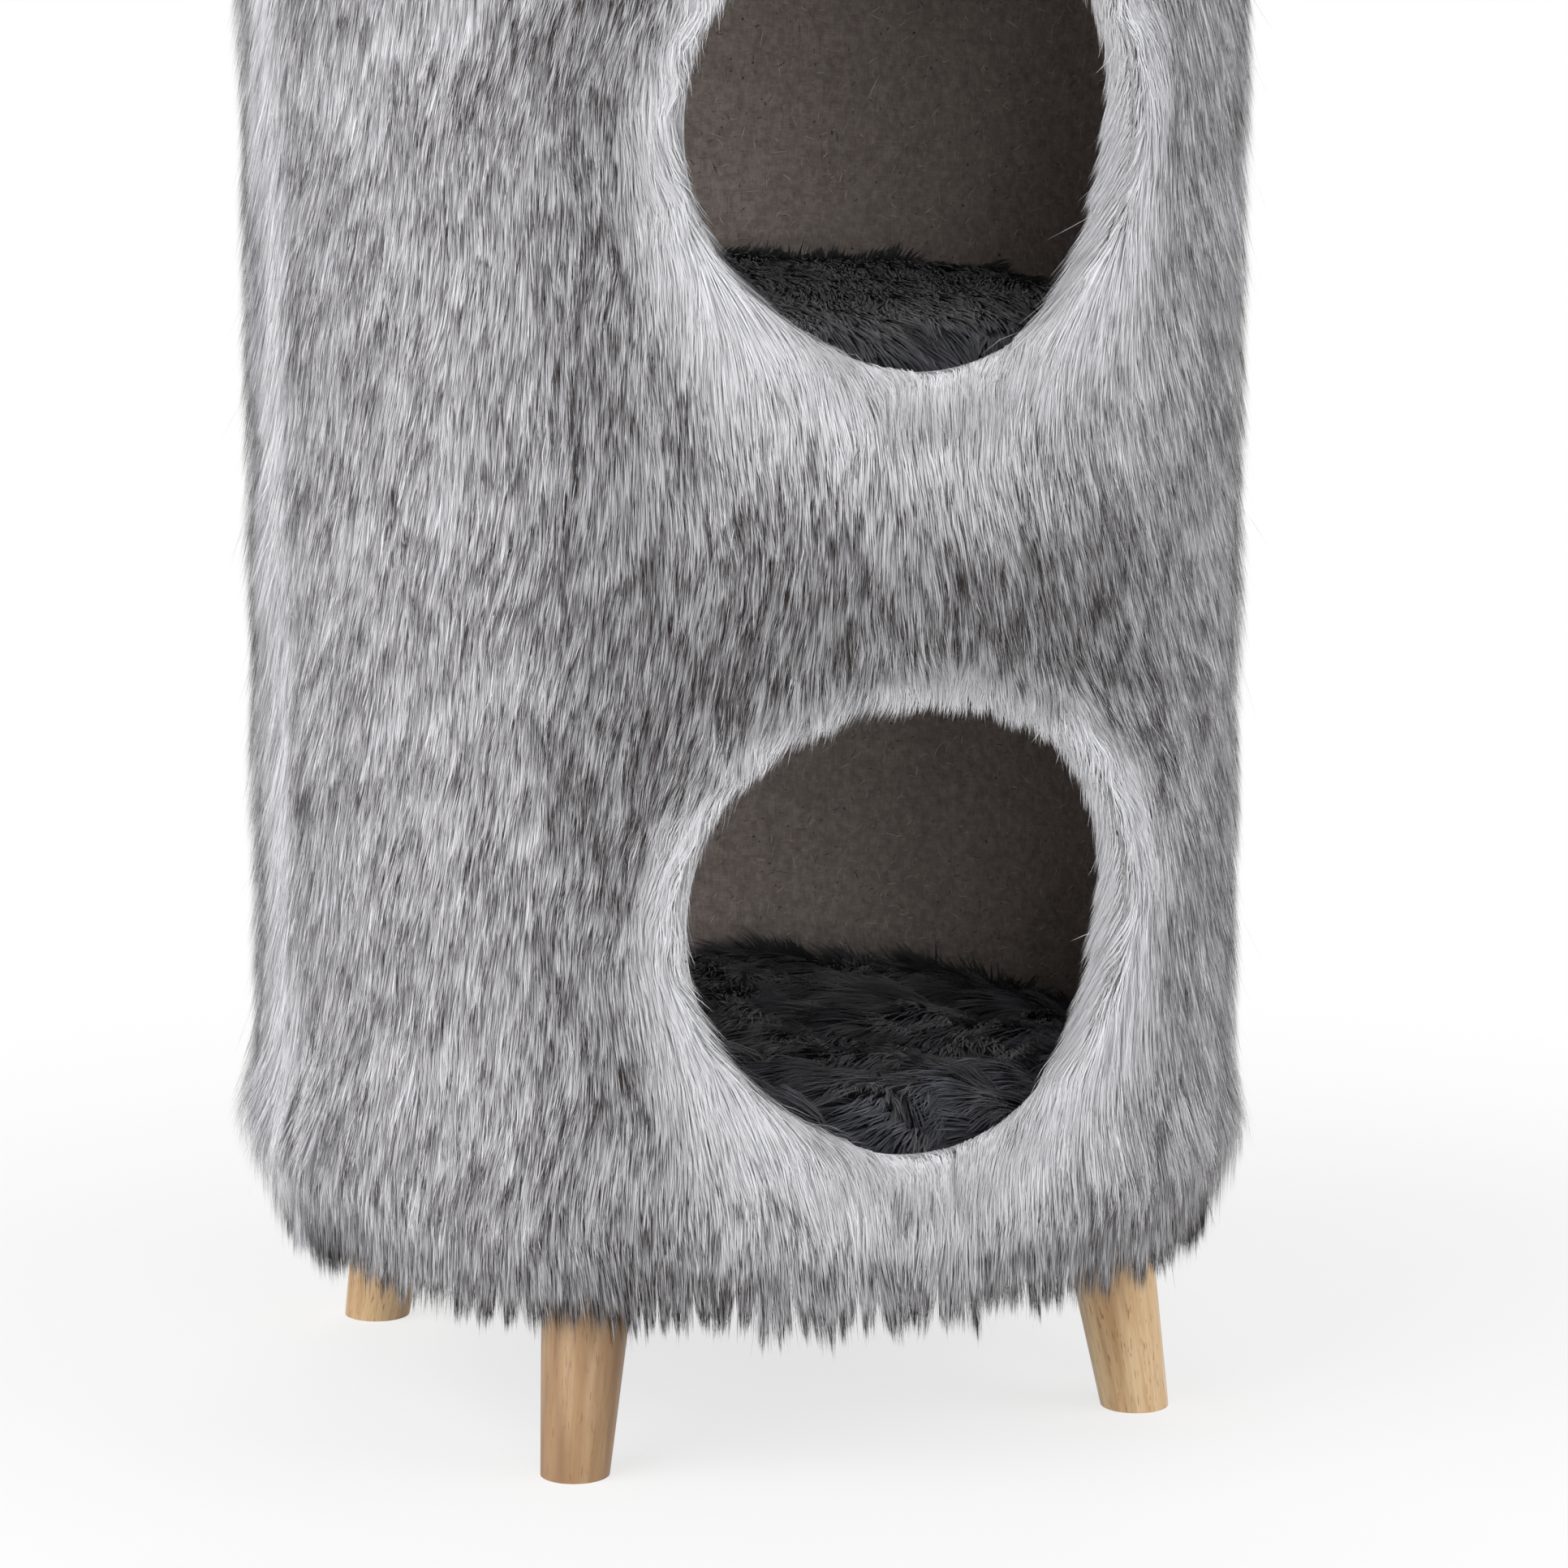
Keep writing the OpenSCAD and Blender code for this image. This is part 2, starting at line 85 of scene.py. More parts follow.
class Nodes:
    """A node tree, with short calls to add and join nodes."""
    def __init__(self, name, kind="materials"):
        self.owner = getattr(bpy.data, kind).new(name)
        self.owner.use_nodes = True
        self.t = self.owner.node_tree
        self.bsdf = self.t.nodes.get("Principled BSDF")

    def put(self, socket, value):
        if isinstance(value, bpy.types.NodeSocket):
            self.t.links.new(value, socket)
        else:
            socket.default_value = (*value, 1) if socket.type == "RGBA" else value

    def add(self, kind, inputs=(), **props):
        n = self.t.nodes.new("ShaderNode" + kind)
        for k, v in props.items():
            setattr(n, k, v)
        for k, v in dict(inputs).items():
            self.put(n.inputs[k], v)
        return n

    def math(self, op, *values, clamp=False):
        return self.add("Math", enumerate(values), operation=op, use_clamp=clamp).outputs[0]

    def times(self, a, b):
        return self.math("MULTIPLY", a, b)

    def plus(self, a, b):
        return self.math("ADD", a, b)

    def scale_add(self, a, b, c, clamp=False):
        return self.math("MULTIPLY_ADD", a, b, c, clamp=clamp)

    def mix(self, f, a, b, blend="MIX"):
        return self.add("Mix", {0: f, 6: a, 7: b}, data_type="RGBA", blend_type=blend).outputs[2]

    def ramp(self, f, *stops):
        """Each stop is a place with a grey level or an sRGB colour."""
        n = self.add("ValToRGB", {0: f})
        els = n.color_ramp.elements
        while len(els) < len(stops):
            els.new(0.5)
        for e, (p, c) in zip(els, stops):
            e.position = p
            e.color = (*srgb(*c), 1) if isinstance(c, tuple) else (c, c, c, 1)
        return n.outputs[0]

    def coords(self, scale=(1, 1, 1), rot=(0, 0, 0), loc=(0, 0, 0)):
        """Object coordinates, in metres."""
        place = self.add("TexCoord").outputs["Object"]
        return self.add("Mapping", {0: place, "Location": loc, "Rotation": rot, "Scale": scale}).outputs[0]

    def noise(self, place, scale, detail=2, rough=0.5):
        inputs = {"Vector": place, "Scale": scale, "Detail": detail, "Roughness": rough}
        return self.add("TexNoise", inputs).outputs["Fac"]

    def bump(self, height, strength, distance):
        bump = self.add("Bump", {"Strength": strength, "Distance": distance, "Height": height})
        self.put(self.bsdf.inputs["Normal"], bump.outputs[0])

    def seen(self):
        """1 to the camera and in mirrors and glass, else 0."""
        ray = self.add("LightPath").outputs
        seen = self.math("MAXIMUM", ray["Is Camera Ray"], ray["Is Glossy Ray"])
        return self.math("MAXIMUM", seen, ray["Is Transmission Ray"])

    def finish(self, colour, rough=0.5, **more):
        for k, v in dict(Base_Color=colour, Roughness=rough, **more).items():
            self.put(self.bsdf.inputs[k.replace("_", " ")], v)
        return self.owner


def srgb(*rgb):
    """A colour given as 0 to 255 in sRGB, in Blender's linear values."""
    part = [v / 255 for v in rgb]
    return tuple(c / 12.92 if c <= 0.04045 else ((c + 0.055) / 1.055) ** 2.4 for c in part)


def scaled(colour, by):
    return tuple(min(1, by * c) for c in srgb(*colour))


def link(name, data):
    o = bpy.data.objects.new(name, data)
    bpy.context.collection.objects.link(o)
    return o


def dress(o, mat):
    o.data.materials.clear()
    o.data.materials.append(mat)


def read(data, what, kind=np.float32):
    """Three values of each item of a mesh's data."""
    out = np.empty(len(data) * 3, kind)
    data.foreach_get(what, out)
    return out.reshape(-1, 3)


def points_of(me):
    return read(me.vertices, "co").astype(float)


def set_points(me, co):
    me.vertices.foreach_set("co", co.astype(np.float32).ravel())
    me.update()


def share(x):
    return np.clip(x, 0, 1)


def bell(x, middle, width):
    return np.exp(-((x - middle) / width) ** 2)


def unit(v):
    return v / (np.linalg.norm(v, axis=-1, keepdims=True) + 1e-9)


def on_ring(r, a, z):
    """Points at a radius, a turn from the front and a height."""
    return np.stack([r * np.sin(a), -r * np.cos(a), z], 1)

# ---- strands

COLS, ROWS = 64, 8  # cells in a strand's colour map
CELL_EDGE = 0.03  # a strand keeps this far inside its cell
POINTS = 4  # along a strand
SEGMENTS = POINTS - 1
ROUND_BY = 0.06  # how much a strand takes the light as if it were round


def strand_material(name, colours, first, last, soft, rough, spec, sheen, step, grey=(0.0, 0.6)):
    """Colour runs from root to tip of each strand.

    A strand's column in the map sets how dark its tip is, and its row how light it is as a whole.
    """
    root, mid, tip = (srgb(*c) for c in colours)
    m = Nodes(name)
    u, v, _ = m.add("SeparateXYZ", {0: m.add("UVMap", uv_map="OFBake").outputs[0]}).outputs
    col = m.math("FLOOR", m.times(u, COLS))
    height = m.times(v, ROWS)
    row = m.math("FLOOR", height)
    span = 1 - 2 * CELL_EDGE
    t = m.scale_add(m.math("FRACT", height), 1 / span, -CELL_EDGE / span)
    dark = m.math("DIVIDE", m.plus(col, 0.5), COLS)
    cell = m.add("CombineXYZ", {0: col, 1: row}).outputs[0]
    chance = m.add("TexWhiteNoise", {"Vector": cell}, noise_dimensions="2D").outputs[0]
    start = m.scale_add(chance, 0.12, m.scale_add(dark, last - first, first))
    f = m.math("DIVIDE", m.math("SUBTRACT", t, start), soft, clamp=True)
    f = m.times(f, m.scale_add(dark, 0.75, 0.25))
    base = m.mix(m.scale_add(t, 1 / grey[1], -grey[0] / grey[1], clamp=True), root, mid)
    level = m.scale_add(chance, 0.04, m.scale_add(row, step, 0.96 - (ROWS - 1) * step))
    colour = m.mix(1.0, m.mix(f, base, tip), m.ramp(level, (0, 0.0), (1, 1.0)), "MULTIPLY")
    return m.finish(colour, rough, Specular_IOR_Level=spec, Sheen_Weight=sheen)


def strand_uv(tone, level, colour_t, k, loop):
    """Where each strand's corners lie in the colour map."""
    u0 = ((tone * COLS).astype(int) + 0.25) / COLS
    side_of = np.array([0, 1] * (k - 1) + [0.5])
    ring_of = np.array([i // 2 for i in range(2 * k - 2)] + [k - 1])
    u = u0[:, None] + 0.5 / COLS * side_of
    v = (level[:, None] + CELL_EDGE + (1 - 2 * CELL_EDGE) * colour_t) / ROWS
    return np.stack([u, v[:, ring_of]], axis=2)[:, loop].astype(np.float32)


def edges(middle, across):
    """A strand's corners: two at each point and one at its tip."""
    n, k, _ = middle.shape
    out = np.empty((n, 2 * k - 1, 3), np.float32)
    out[:, 0:2 * k - 2:2] = (middle - across)[:, :-1]
    out[:, 1:2 * k - 2:2] = (middle + across)[:, :-1]
    out[:, -1] = middle[:, -1]
    return out


def ribbons(name, pts, wide, nrm, twist, tone, level, colour_t, mat, taper, body, shade=None):
    """One mesh of flat tapering strands.

    pts is (n, k, 3). nrm is the way that each strand's flat side faces, and shade the way it takes light.
    """
    n, k, _ = pts.shape
    tan = np.empty_like(pts)
    tan[:, 1:-1] = pts[:, 2:] - pts[:, :-2]
    tan[:, 0] = pts[:, 1] - pts[:, 0]
    tan[:, -1] = pts[:, -1] - pts[:, -2]
    tan /= np.linalg.norm(tan, axis=2, keepdims=True) + 1e-12
    side = unit(np.cross(tan, nrm))
    up = np.cross(side, tan)
    side = side * np.cos(twist)[:, None, None] + up * np.sin(twist)[:, None, None]
    co = edges(pts, side * 0.5 * wide[:, None, None] * np.array(taper)[:, None])
    quads = k - 2
    loop = [c for q in range(quads) for c in (2 * q, 2 * q + 1, 2 * q + 3, 2 * q + 2)]
    loop = np.array(loop + [2 * quads, 2 * quads + 1, 2 * quads + 2])
    loops = np.arange(n)[:, None] * (2 * k - 1) + loop
    starts = np.arange(n)[:, None] * len(loop) + np.arange(quads + 1) * 4
    me = bpy.data.meshes.new(name)
    me.vertices.add(n * (2 * k - 1))
    me.vertices.foreach_set("co", co.ravel())
    me.loops.add(loops.size)
    me.loops.foreach_set("vertex_index", loops.astype(np.int32).ravel())
    me.polygons.add(starts.size)
    me.polygons.foreach_set("loop_start", starts.astype(np.int32).ravel())
    me.update(calc_edges=True)
    way = me.attributes.new("custom_normal", "FLOAT_VECTOR", "POINT")
    way.data.foreach_set("vector", unit(edges(nrm if shade is None else shade, ROUND_BY * side)).ravel())
    layer = me.uv_layers.new(name="OFBake")
    layer.uv.foreach_set("vector", strand_uv(tone, level, colour_t, k, loop).ravel())
    me.materials.append(mat)
    o = link(name, me)
    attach(o, body)


def along_strand(first, last, count):
    """The colour's place along each strand, from its first point to its last."""
    return np.linspace(first, last, POINTS) * np.ones((count, 1))


def waves(rng, count, short, long):
    """A smooth random field over (along, up), about -1 to 1."""
    k = 2 * np.pi / rng.uniform(short, long, count)
    a = rng.uniform(0, 2 * np.pi, count)
    ph = rng.uniform(0, 2 * np.pi, count)

    def field(s, z):
        out = np.zeros_like(s)
        for i in range(count):
            out += np.sin(k[i] * (np.cos(a[i]) * s + np.sin(a[i]) * z) + ph[i])
        return out / math.sqrt(count / 2) / 1.6
    return field

# ---- the barrel's skin, as distances

def skin(p):
    """Height over the skin, its outward direction, how far round each fold, and the directions there."""
    x, y, z = p.T
    r = np.hypot(x, y) + 1e-9
    zc = np.where(z > (DOORS[0] + DOORS[1]) / 2, DOORS[1], DOORS[0])
    rho = np.hypot(x, z - zc) + 1e-9
    outward = np.stack([x / r, y / r, 0 * x], 1)
    away = np.stack([x / rho, 0 * x, (z - zc) / rho], 1)
    past = np.stack([r - SKIN_R, np.where(y < 0, DOOR_R - rho, -1.0), z - SKIN_TOP, SKIN_LOW - z], 1) + FOLD
    w = np.maximum(past, 0)
    size = np.linalg.norm(w, axis=1)
    inside = size < 1e-6
    d = np.where(inside, past.max(1), size) - FOLD
    w = w / np.maximum(size, 1e-6)[:, None]
    w[inside] = (1, 0, 0, 0)
    n = w[:, 0:1] * outward - w[:, 1:2] * away
    n[:, 2] += w[:, 2] - w[:, 3]
    return d, unit(n), w, outward, away, rho, zc


frng = np.random.default_rng(41)
lean_a = waves(frng, 7, 0.05, 0.11)
lean_b = waves(frng, 9, 0.018, 0.035)
tone_a = waves(frng, 8, 0.035, 0.10)
tone_b = waves(frng, 9, 0.012, 0.03)
lift_a = waves(frng, 8, 0.03, 0.08)
lean_c = waves(frng, 8, 0.010, 0.022)
hem_a = waves(frng, 8, 0.03, 0.09)

# Round a doorway the pile follows its lower edge and fans out over it: how strongly, and how soon that fades
HUG, HUG_FADE = 0.95, 0.020
FAN, FAN_FADE = 1.05, 0.034
FREE = 0.7  # how much of its way a hanging strand keeps
SWAY_TURN = 5.5  # radians of a strand's sway

# Where the coat changes. Heights are over the floor, and turns are from the front, left negative
SEAM, SEAM_WIDE, SEAM_LEAN = radians(91), radians(3.8), radians(5)  # pale, at each side
FLARE_Z, FLARE_TALL, FLARE_LEFT = 0.133, 0.028, 0.6  # it stands out more
# Down the left of the front and between the doorways the fur has more dark ends and is darker overall:
# partly darker fur, partly painted shade
BETWEEN_Z, BETWEEN_TALL, BETWEEN_WIDE = 0.348, 0.05, radians(32)  # dark, between the doorways
DARK_SHADE_TURN, DARK_SHADE_WIDE = radians(-37), radians(11)  # dark, down the left of the front
FOOT_Z, FOOT_TALL = 0.095, 0.030  # dark, near the hem
RIGHT, RIGHT_FADE, BACK_FADE = 0.38, 0.30, 0.25  # darker to the right and behind
LOW_Z, LOW_TALL = 0.135, 0.045  # below this the tufts gather to the hem's
THIN_FAR, CUT_FAR = 36 * MM, 15 * MM  # how far from a doorway the pile is thinner, and is cut
PILE_MIN, PILE_MAX = 3 * MM, 22 * MM
FOLD_MIN = 1.3 * MM
HEM_Z, HEM_TUFT = 0.0600, 7 * MM
LOCK = (8.5 * MM, 26 * MM)  # a wide tuft's size, along and up
TOP_EDGE, LOW_EDGE = 3, 2  # kinds of root; 0 is outside and 1 on a doorway's fold
STRAY, FLYING = 0.005, 0.015  # shares of strands that stand out of place
PIECE_CORNERS = 198000  # a mesh of strands stays under this many corners


def lie(p, n, w, outward, away, rho):
    """The way the pile lies at each point: down, and along the edge under each doorway."""
    round_it = np.stack([-outward[:, 1], outward[:, 0], 0 * rho], 1)
    turn = np.arctan2(p[:, 0], -p[:, 1])
    place = SKIN_R * turn, p[:, 2]
    front = p[:, 1] < 0
    right, up = away[:, 0], away[:, 2]
    low = share(-up + 0.30 * (right > 0)) ** 0.6
    gap = np.maximum(rho - DOOR_R - 1 * MM, 0)
    near = np.where(front, np.exp(-gap / HUG_FADE), 0)
    wide = np.where(front, np.exp(-gap / FAN_FADE), 0)
    side = -HUG * near * right * low
    side = side + FAN * wide * right * share(up) * np.where(right < 0, 1.0, 0.75)
    near = near * (1 - 0.6 * low)
    side = side + 0.09 * lean_a(*place) + (0.06 + 0.20 * near) * lean_b(*place)
    side = side + 0.18 * near * lean_c(*place)
    off = (np.abs(turn) - SEAM) / SEAM_LEAN
    side = side + 0.22 * np.sign(turn) * off * np.exp(-off ** 2)
    far = np.hypot(side, 1)
    ds, dz = side / far, -1 / far
    flat = ds[:, None] * round_it
    flat[:, 2] += dz
    # round a doorway's fold the part that leads away from the doorway turns with the cloth
    rim = unit(np.cross(outward, away))
    out = np.cross(rim, n)
    d_r = ds * right + dz * up
    d_t = -ds * up + dz * right
    turned = d_r[:, None] * out + d_t[:, None] * rim
    hang = (np.where(d_r < 0, 0.55, 0.15) * share(0.3 + up))[:, None]
    turned = turned * (1 - hang) + flat * hang
    on = np.where(front, share(w[:, 1] * 3), 0)[:, None]
    v = flat * (1 - on) + turned * on
    # over the top edge it turns outwards
    top = share(w[:, 2] * 3)[:, None]
    over = ds[:, None] * round_it + (-dz * w[:, 2])[:, None] * outward
    over[:, 2] += dz * w[:, 0]
    return v * (1 - top) + over * top, d_r


def grow(root, length, rise, gather, wander, fold, start):
    """Strands from their roots: their points, the skin's directions there, and how they take the light."""
    pts, nrm, shade = (np.empty((len(root), POINTS, 3)) for _ in range(3))
    d, nv, w, outward, *_ = skin(root)
    start = start + 1.1 * MM * share(w[:, 1])
    p = root + nv * (start - d)[:, None]
    first = 0.45 * nv + 0.55 * outward
    pts[:, 0], nrm[:, 0], shade[:, 0] = p, nv, first
    before = None
    for k in range(SEGMENTS):
        t0, t1 = k / SEGMENTS, (k + 1) / SEGMENTS
        d, nv, w, outward, away, rho, _ = skin(p)
        v, d_r = lie(p, nv, w, outward, away, rho)
        lead = (fold * (1 - t0) ** 2)[:, None]  # it stands out of a fold first
        v = unit(v * (1 - 0.6 * lead) + nv * 0.8 * lead)
        # past the lower edge and over a doorway's top it hangs free; beside a doorway it follows the cloth
        loose = np.where(w[:, 3] > 0.05, 1.0, share(away[:, 2] * 2.5 - 1.0))
        if before is not None:
            free = FREE * (share(w[:, 1] * (d_r < 0) + w[:, 3]) * loose)[:, None]
            v = v * (1 - free) + before * free
        swing = np.sin(wander[:, 1] + SWAY_TURN * t1) - np.sin(wander[:, 1] + SWAY_TURN * t0)
        sway = -gather * (t1 ** 1.6 - t0 ** 1.6) + wander[:, 0] * swing
        q = p + v * (length / SEGMENTS)[:, None] + unit(np.cross(nv, v)) * sway[:, None]
        height = start + rise * t1 ** 0.75 * np.interp(q[:, 2], (0.058, 0.080, 0.108), (0.30, 0.72, 1.0))
        d, nv, w, outward, *_ = skin(q)
        want = height - d
        edge = (w[:, 1] > 0.05) | (w[:, 3] > 0.05)
        push = np.where(edge & (want < 0), want * (1 - loose), want)
        p = q + nv * push[:, None]
        before = v
        pts[:, k + 1], nrm[:, k + 1] = p, nv
        shade[:, k + 1] = 0.35 * nv + 0.35 * outward + 0.30 * first
    return pts, nrm, shade


def clumps(s, z, size_s, size_z, seed, wrap=None):
    """For each root the centre of the tuft it belongs to: offsets to it and its number."""
    cells = int(round(wrap / size_s)) if wrap else 4096
    size_s = wrap / cells if wrap else size_s
    places = np.random.default_rng(seed).random((997, 2))
    i, j = np.floor(s / size_s).astype(int), np.floor(z / size_z).astype(int)
    best = np.full(len(s), 1e9)
    ds, dz, number = 0 * s, 0 * s, np.zeros(len(s), int)
    for a in (-1, 0, 1):
        for b in (-1, 0, 1):
            key = ((i + a) % cells) * 7919 + (j + b) * 104729
            at = places[key % 997]
            far_s, far_z = s - (i + a + at[:, 0]) * size_s, z - (j + b + at[:, 1]) * size_z
            far = (far_s / size_s) ** 2 + (far_z / size_z) ** 2
            take = far < best
            best = np.where(take, far, best)
            ds, dz = np.where(take, far_s, ds), np.where(take, far_z, dz)
            number = np.where(take, key, number)
    return ds, dz, number


def per_clump(number, seed, count):
    return np.random.default_rng(seed).random((9973, count))[number % 9973]

# ---- roots

rng = np.random.default_rng(11)


def gauss(shape):
    return rng.standard_normal(shape)


def outside_roots(density):
    low, high = SKIN_LOW + 1 * MM, SKIN_TOP - FOLD
    n = int(density * AROUND * (high - low))
    s = rng.random(n) * AROUND
    p = on_ring(SKIN_R, s / SKIN_R, low + rng.random(n) * (high - low))
    return p[~((p[:, 1] < 0) & (skin(p)[5] < DOOR_R + FOLD))]


def doorway_roots(zc, density):
    """Round a doorway: over its fold and a little way in."""
    arc = FOLD * np.pi / 2
    far = arc + 8 * MM
    n = int(density * 2 * np.pi * (DOOR_R + 3 * MM) * far)
    th, u = rng.random(n) * 2 * np.pi, rng.random(n) * far
    phi = np.minimum(u / FOLD, np.pi / 2)
    x = (DOOR_R + FOLD) * np.cos(th)
    y = -np.sqrt((SKIN_R - FOLD) ** 2 - x ** 2)
    r = np.hypot(x, y)
    outward = np.stack([x / r, y / r, 0 * x], 1)
    away = np.stack([np.cos(th), 0 * x, np.sin(th)], 1)
    p = np.stack([x, y, zc + (DOOR_R + FOLD) * np.sin(th)], 1)
    p = p + FOLD * (np.cos(phi)[:, None] * outward - np.sin(phi)[:, None] * away)
    p -= outward * np.maximum(u - arc, 0)[:, None]
    # over the top of a doorway the pile leads inside, so few strands there show
    keep = rng.random(n) < np.clip(1.2 - 0.8 * np.sin(th), 0.4, 1)
    return p[keep]


def top_roots(density):
    """Round the top edge, from the outside fold to the middle of the tube's end."""
    arc = FOLD * np.pi / 2
    far = arc + 6 * MM
    n = int(density * AROUND * far)
    a, u = rng.random(n) * 2 * np.pi, rng.random(n) * far
    ph = np.minimum(u / FOLD, np.pi / 2)
    r = SKIN_R - FOLD + FOLD * np.cos(ph) - np.maximum(u - arc, 0)
    return on_ring(r, a, SKIN_TOP - FOLD + FOLD * np.sin(ph))


def edge_roots(density):
    """Round the lower edge, where the cloth turns under the board."""
    turned = 1.75
    n = int(density * AROUND * FOLD * turned)
    a, ph = rng.random(n) * 2 * np.pi, rng.random(n) * turned
    return on_ring(SKIN_R - FOLD + FOLD * np.cos(ph), a, SKIN_LOW + FOLD - FOLD * np.sin(ph))


def all_roots(body, fold, edge, top):
    sets = [outside_roots(body)] + [doorway_roots(zc, fold) for zc in DOORS]
    sets += [edge_roots(edge), top_roots(top)]
    kinds = [0, 1, 1, LOW_EDGE, TOP_EDGE]
    return np.concatenate(sets), np.concatenate([np.full(len(s), k) for s, k in zip(sets, kinds)])

# ---- the coat

def look_round(roots, kind, tuft):
    """Each root's place on the skin, and the tufts that it belongs to."""
    at = SimpleNamespace(roots=roots, kind=kind, n=len(roots), x=roots[:, 0], z=roots[:, 2])
    at.turn = np.arctan2(at.x, -roots[:, 1])
    at.along = (SKIN_R * at.turn) % AROUND
    at.cs, at.cz, number = clumps(at.along, at.z, *tuft, AROUND)
    at.c = per_clump(number, tuft[2] + 1, 9).T
    at.gs, _, number = clumps(at.along, at.z, *LOCK, tuft[2] + 3, AROUND)
    at.g = per_clump(number, 21, 4).T
    at.hem_s, _, number = clumps(at.along, 0 * at.z, HEM_TUFT, 1.0, 91, AROUND)
    at.spike = per_clump(number, 92, 1)[:, 0]
    _, _, w, _, away, rho, at.zc = skin(roots)
    at.right, at.up = away[:, 0], away[:, 2]
    at.front = roots[:, 1] < 0
    at.off = np.where(at.front, rho - DOOR_R, 1.0)
    at.fold = (kind == 1) * share(w[:, 1])
    at.under = share(-at.up * 4 - 2.8) * at.fold  # along the bottom of a doorway it lies flat
    return at


def pile_height(at, lift):
    """How high each strand stands over the skin."""
    c, n = at.c, at.n
    rise = lift[0] + lift[1] * (c[1] - 0.5) + 0.10 * lift[0] * lift_a(at.along, at.z)
    rise = rise + lift[2] * gauss(n)
    left = 1 + 0.5 * share(-at.turn - FLARE_LEFT)
    rise = rise + bell(at.z, FLARE_Z, FLARE_TALL) * (3.5 + 6.0 * at.g[0] ** 2) * MM * left
    thin = share(1 - at.off / THIN_FAR) ** 1.4 * (1 - 0.25 * share(at.up * 2 - 0.6)) * at.front
    rise = np.clip(rise, PILE_MIN, PILE_MAX) * (1 - 0.66 * thin) * (1 - (0.35 + 0.25 * at.under) * at.fold)
    rise = rise + at.fold * at.under * (1.2 + 2.4 * c[8]) * MM
    loose = 3.6 * c[8] ** 2 - 0.8 + 0.8 * gauss(n)
    rise = np.maximum(rise + at.fold * (1 - at.under) * loose * MM, FOLD_MIN)
    return np.where(at.kind == TOP_EDGE, rise * 1.15, rise)


def clip_hair(at, full):
    """Each strand's length: it is clipped over a doorway's top and beside it, and level at the hem."""
    c, n, x, z = at.c, at.n, at.x, at.z
    climb = z - at.zc - np.sqrt(np.clip(DOOR_R ** 2 - x ** 2, 0, None))
    over = 0.5 + 11 * (c[2] - 0.5) + 5 * (at.g[1] - 0.5) - 8 * share((climb - 14 * MM) / (24 * MM))
    over = np.minimum((over + rng.normal(0, 1.8, n)) * MM, 9 * MM)
    reach = DOOR_R - over
    above = at.front & (z > at.zc) & (np.abs(x) < reach) & (at.kind == 0)
    lands = at.zc + np.sqrt(np.clip(reach ** 2 - x ** 2, 0, None))
    slant = 1 + 0.35 * np.abs(x) / DOOR_R
    length = np.where(above, np.clip((z - lands) * slant, 6 * MM, full), full)
    # beside a doorway the dark ends are cut off
    at.cut = share(1 - (at.off - FOLD) / CUT_FAR) * share((at.up + 0.75) / 0.5) * (at.kind <= 1)
    length = length * (1 - (0.46 + 0.16 * (c[3] - 0.5)) * at.cut)
    topside = share((at.up - 0.1) / 0.5) * (at.kind == 1)
    length = length * (1 - topside) + topside * np.minimum(length, (9 + 8 * rng.random(n)) * MM)
    ragged = 1.8 * hem_a(at.along, 0 * z) + 10.0 * (at.spike - 0.5) + 3.0 * (c[3] - 0.5)
    hem = HEM_Z + (ragged + 900 * np.abs(at.hem_s) + 1.2 * gauss(n)) * MM
    to_hem = np.maximum((z - hem) / 0.95, 5 * MM)
    at.shaped = length > to_hem  # these grow shorter and keep their dark ends
    return np.minimum(length, to_hem)


def darkness(at, tones):
    """The share of dark-ended strands at each root: more down the left of the front and between the
    doorways, partly as painted shade, and more low down, to the right and at the back.
    """
    jitter = 0.05 * (at.g[2] - 0.5)
    at.seam = bell(np.abs(at.turn) + jitter, SEAM, SEAM_WIDE)
    at.between = bell(at.z, BETWEEN_Z, BETWEEN_TALL) * np.exp(-(at.turn / BETWEEN_WIDE) ** 4)
    at.dusk = bell(at.turn, DARK_SHADE_TURN, DARK_SHADE_WIDE) * 0.7 + at.between
    at.foot = bell(at.z, FOOT_Z, FOOT_TALL)
    tone = tones[0] + tones[1] * (at.c[7] - 0.5) + tones[2] * tone_a(at.along, at.z)
    tone = tone + 0.6 * tones[2] * tone_b(at.along, at.z) - 0.65 * tones[0] * at.seam
    # the band down the left of the front and the band between the doorways add dark ends: partly darker fur,
    # partly painted shade
    tone = tone + 0.38 * at.dusk + 0.34 * at.between + 0.44 * at.foot
    tone = tone + 0.17 * share((at.turn - RIGHT) / RIGHT_FADE) * (at.turn < SEAM)
    return tone + 0.20 * share((np.abs(at.turn) - SEAM) / BACK_FADE)


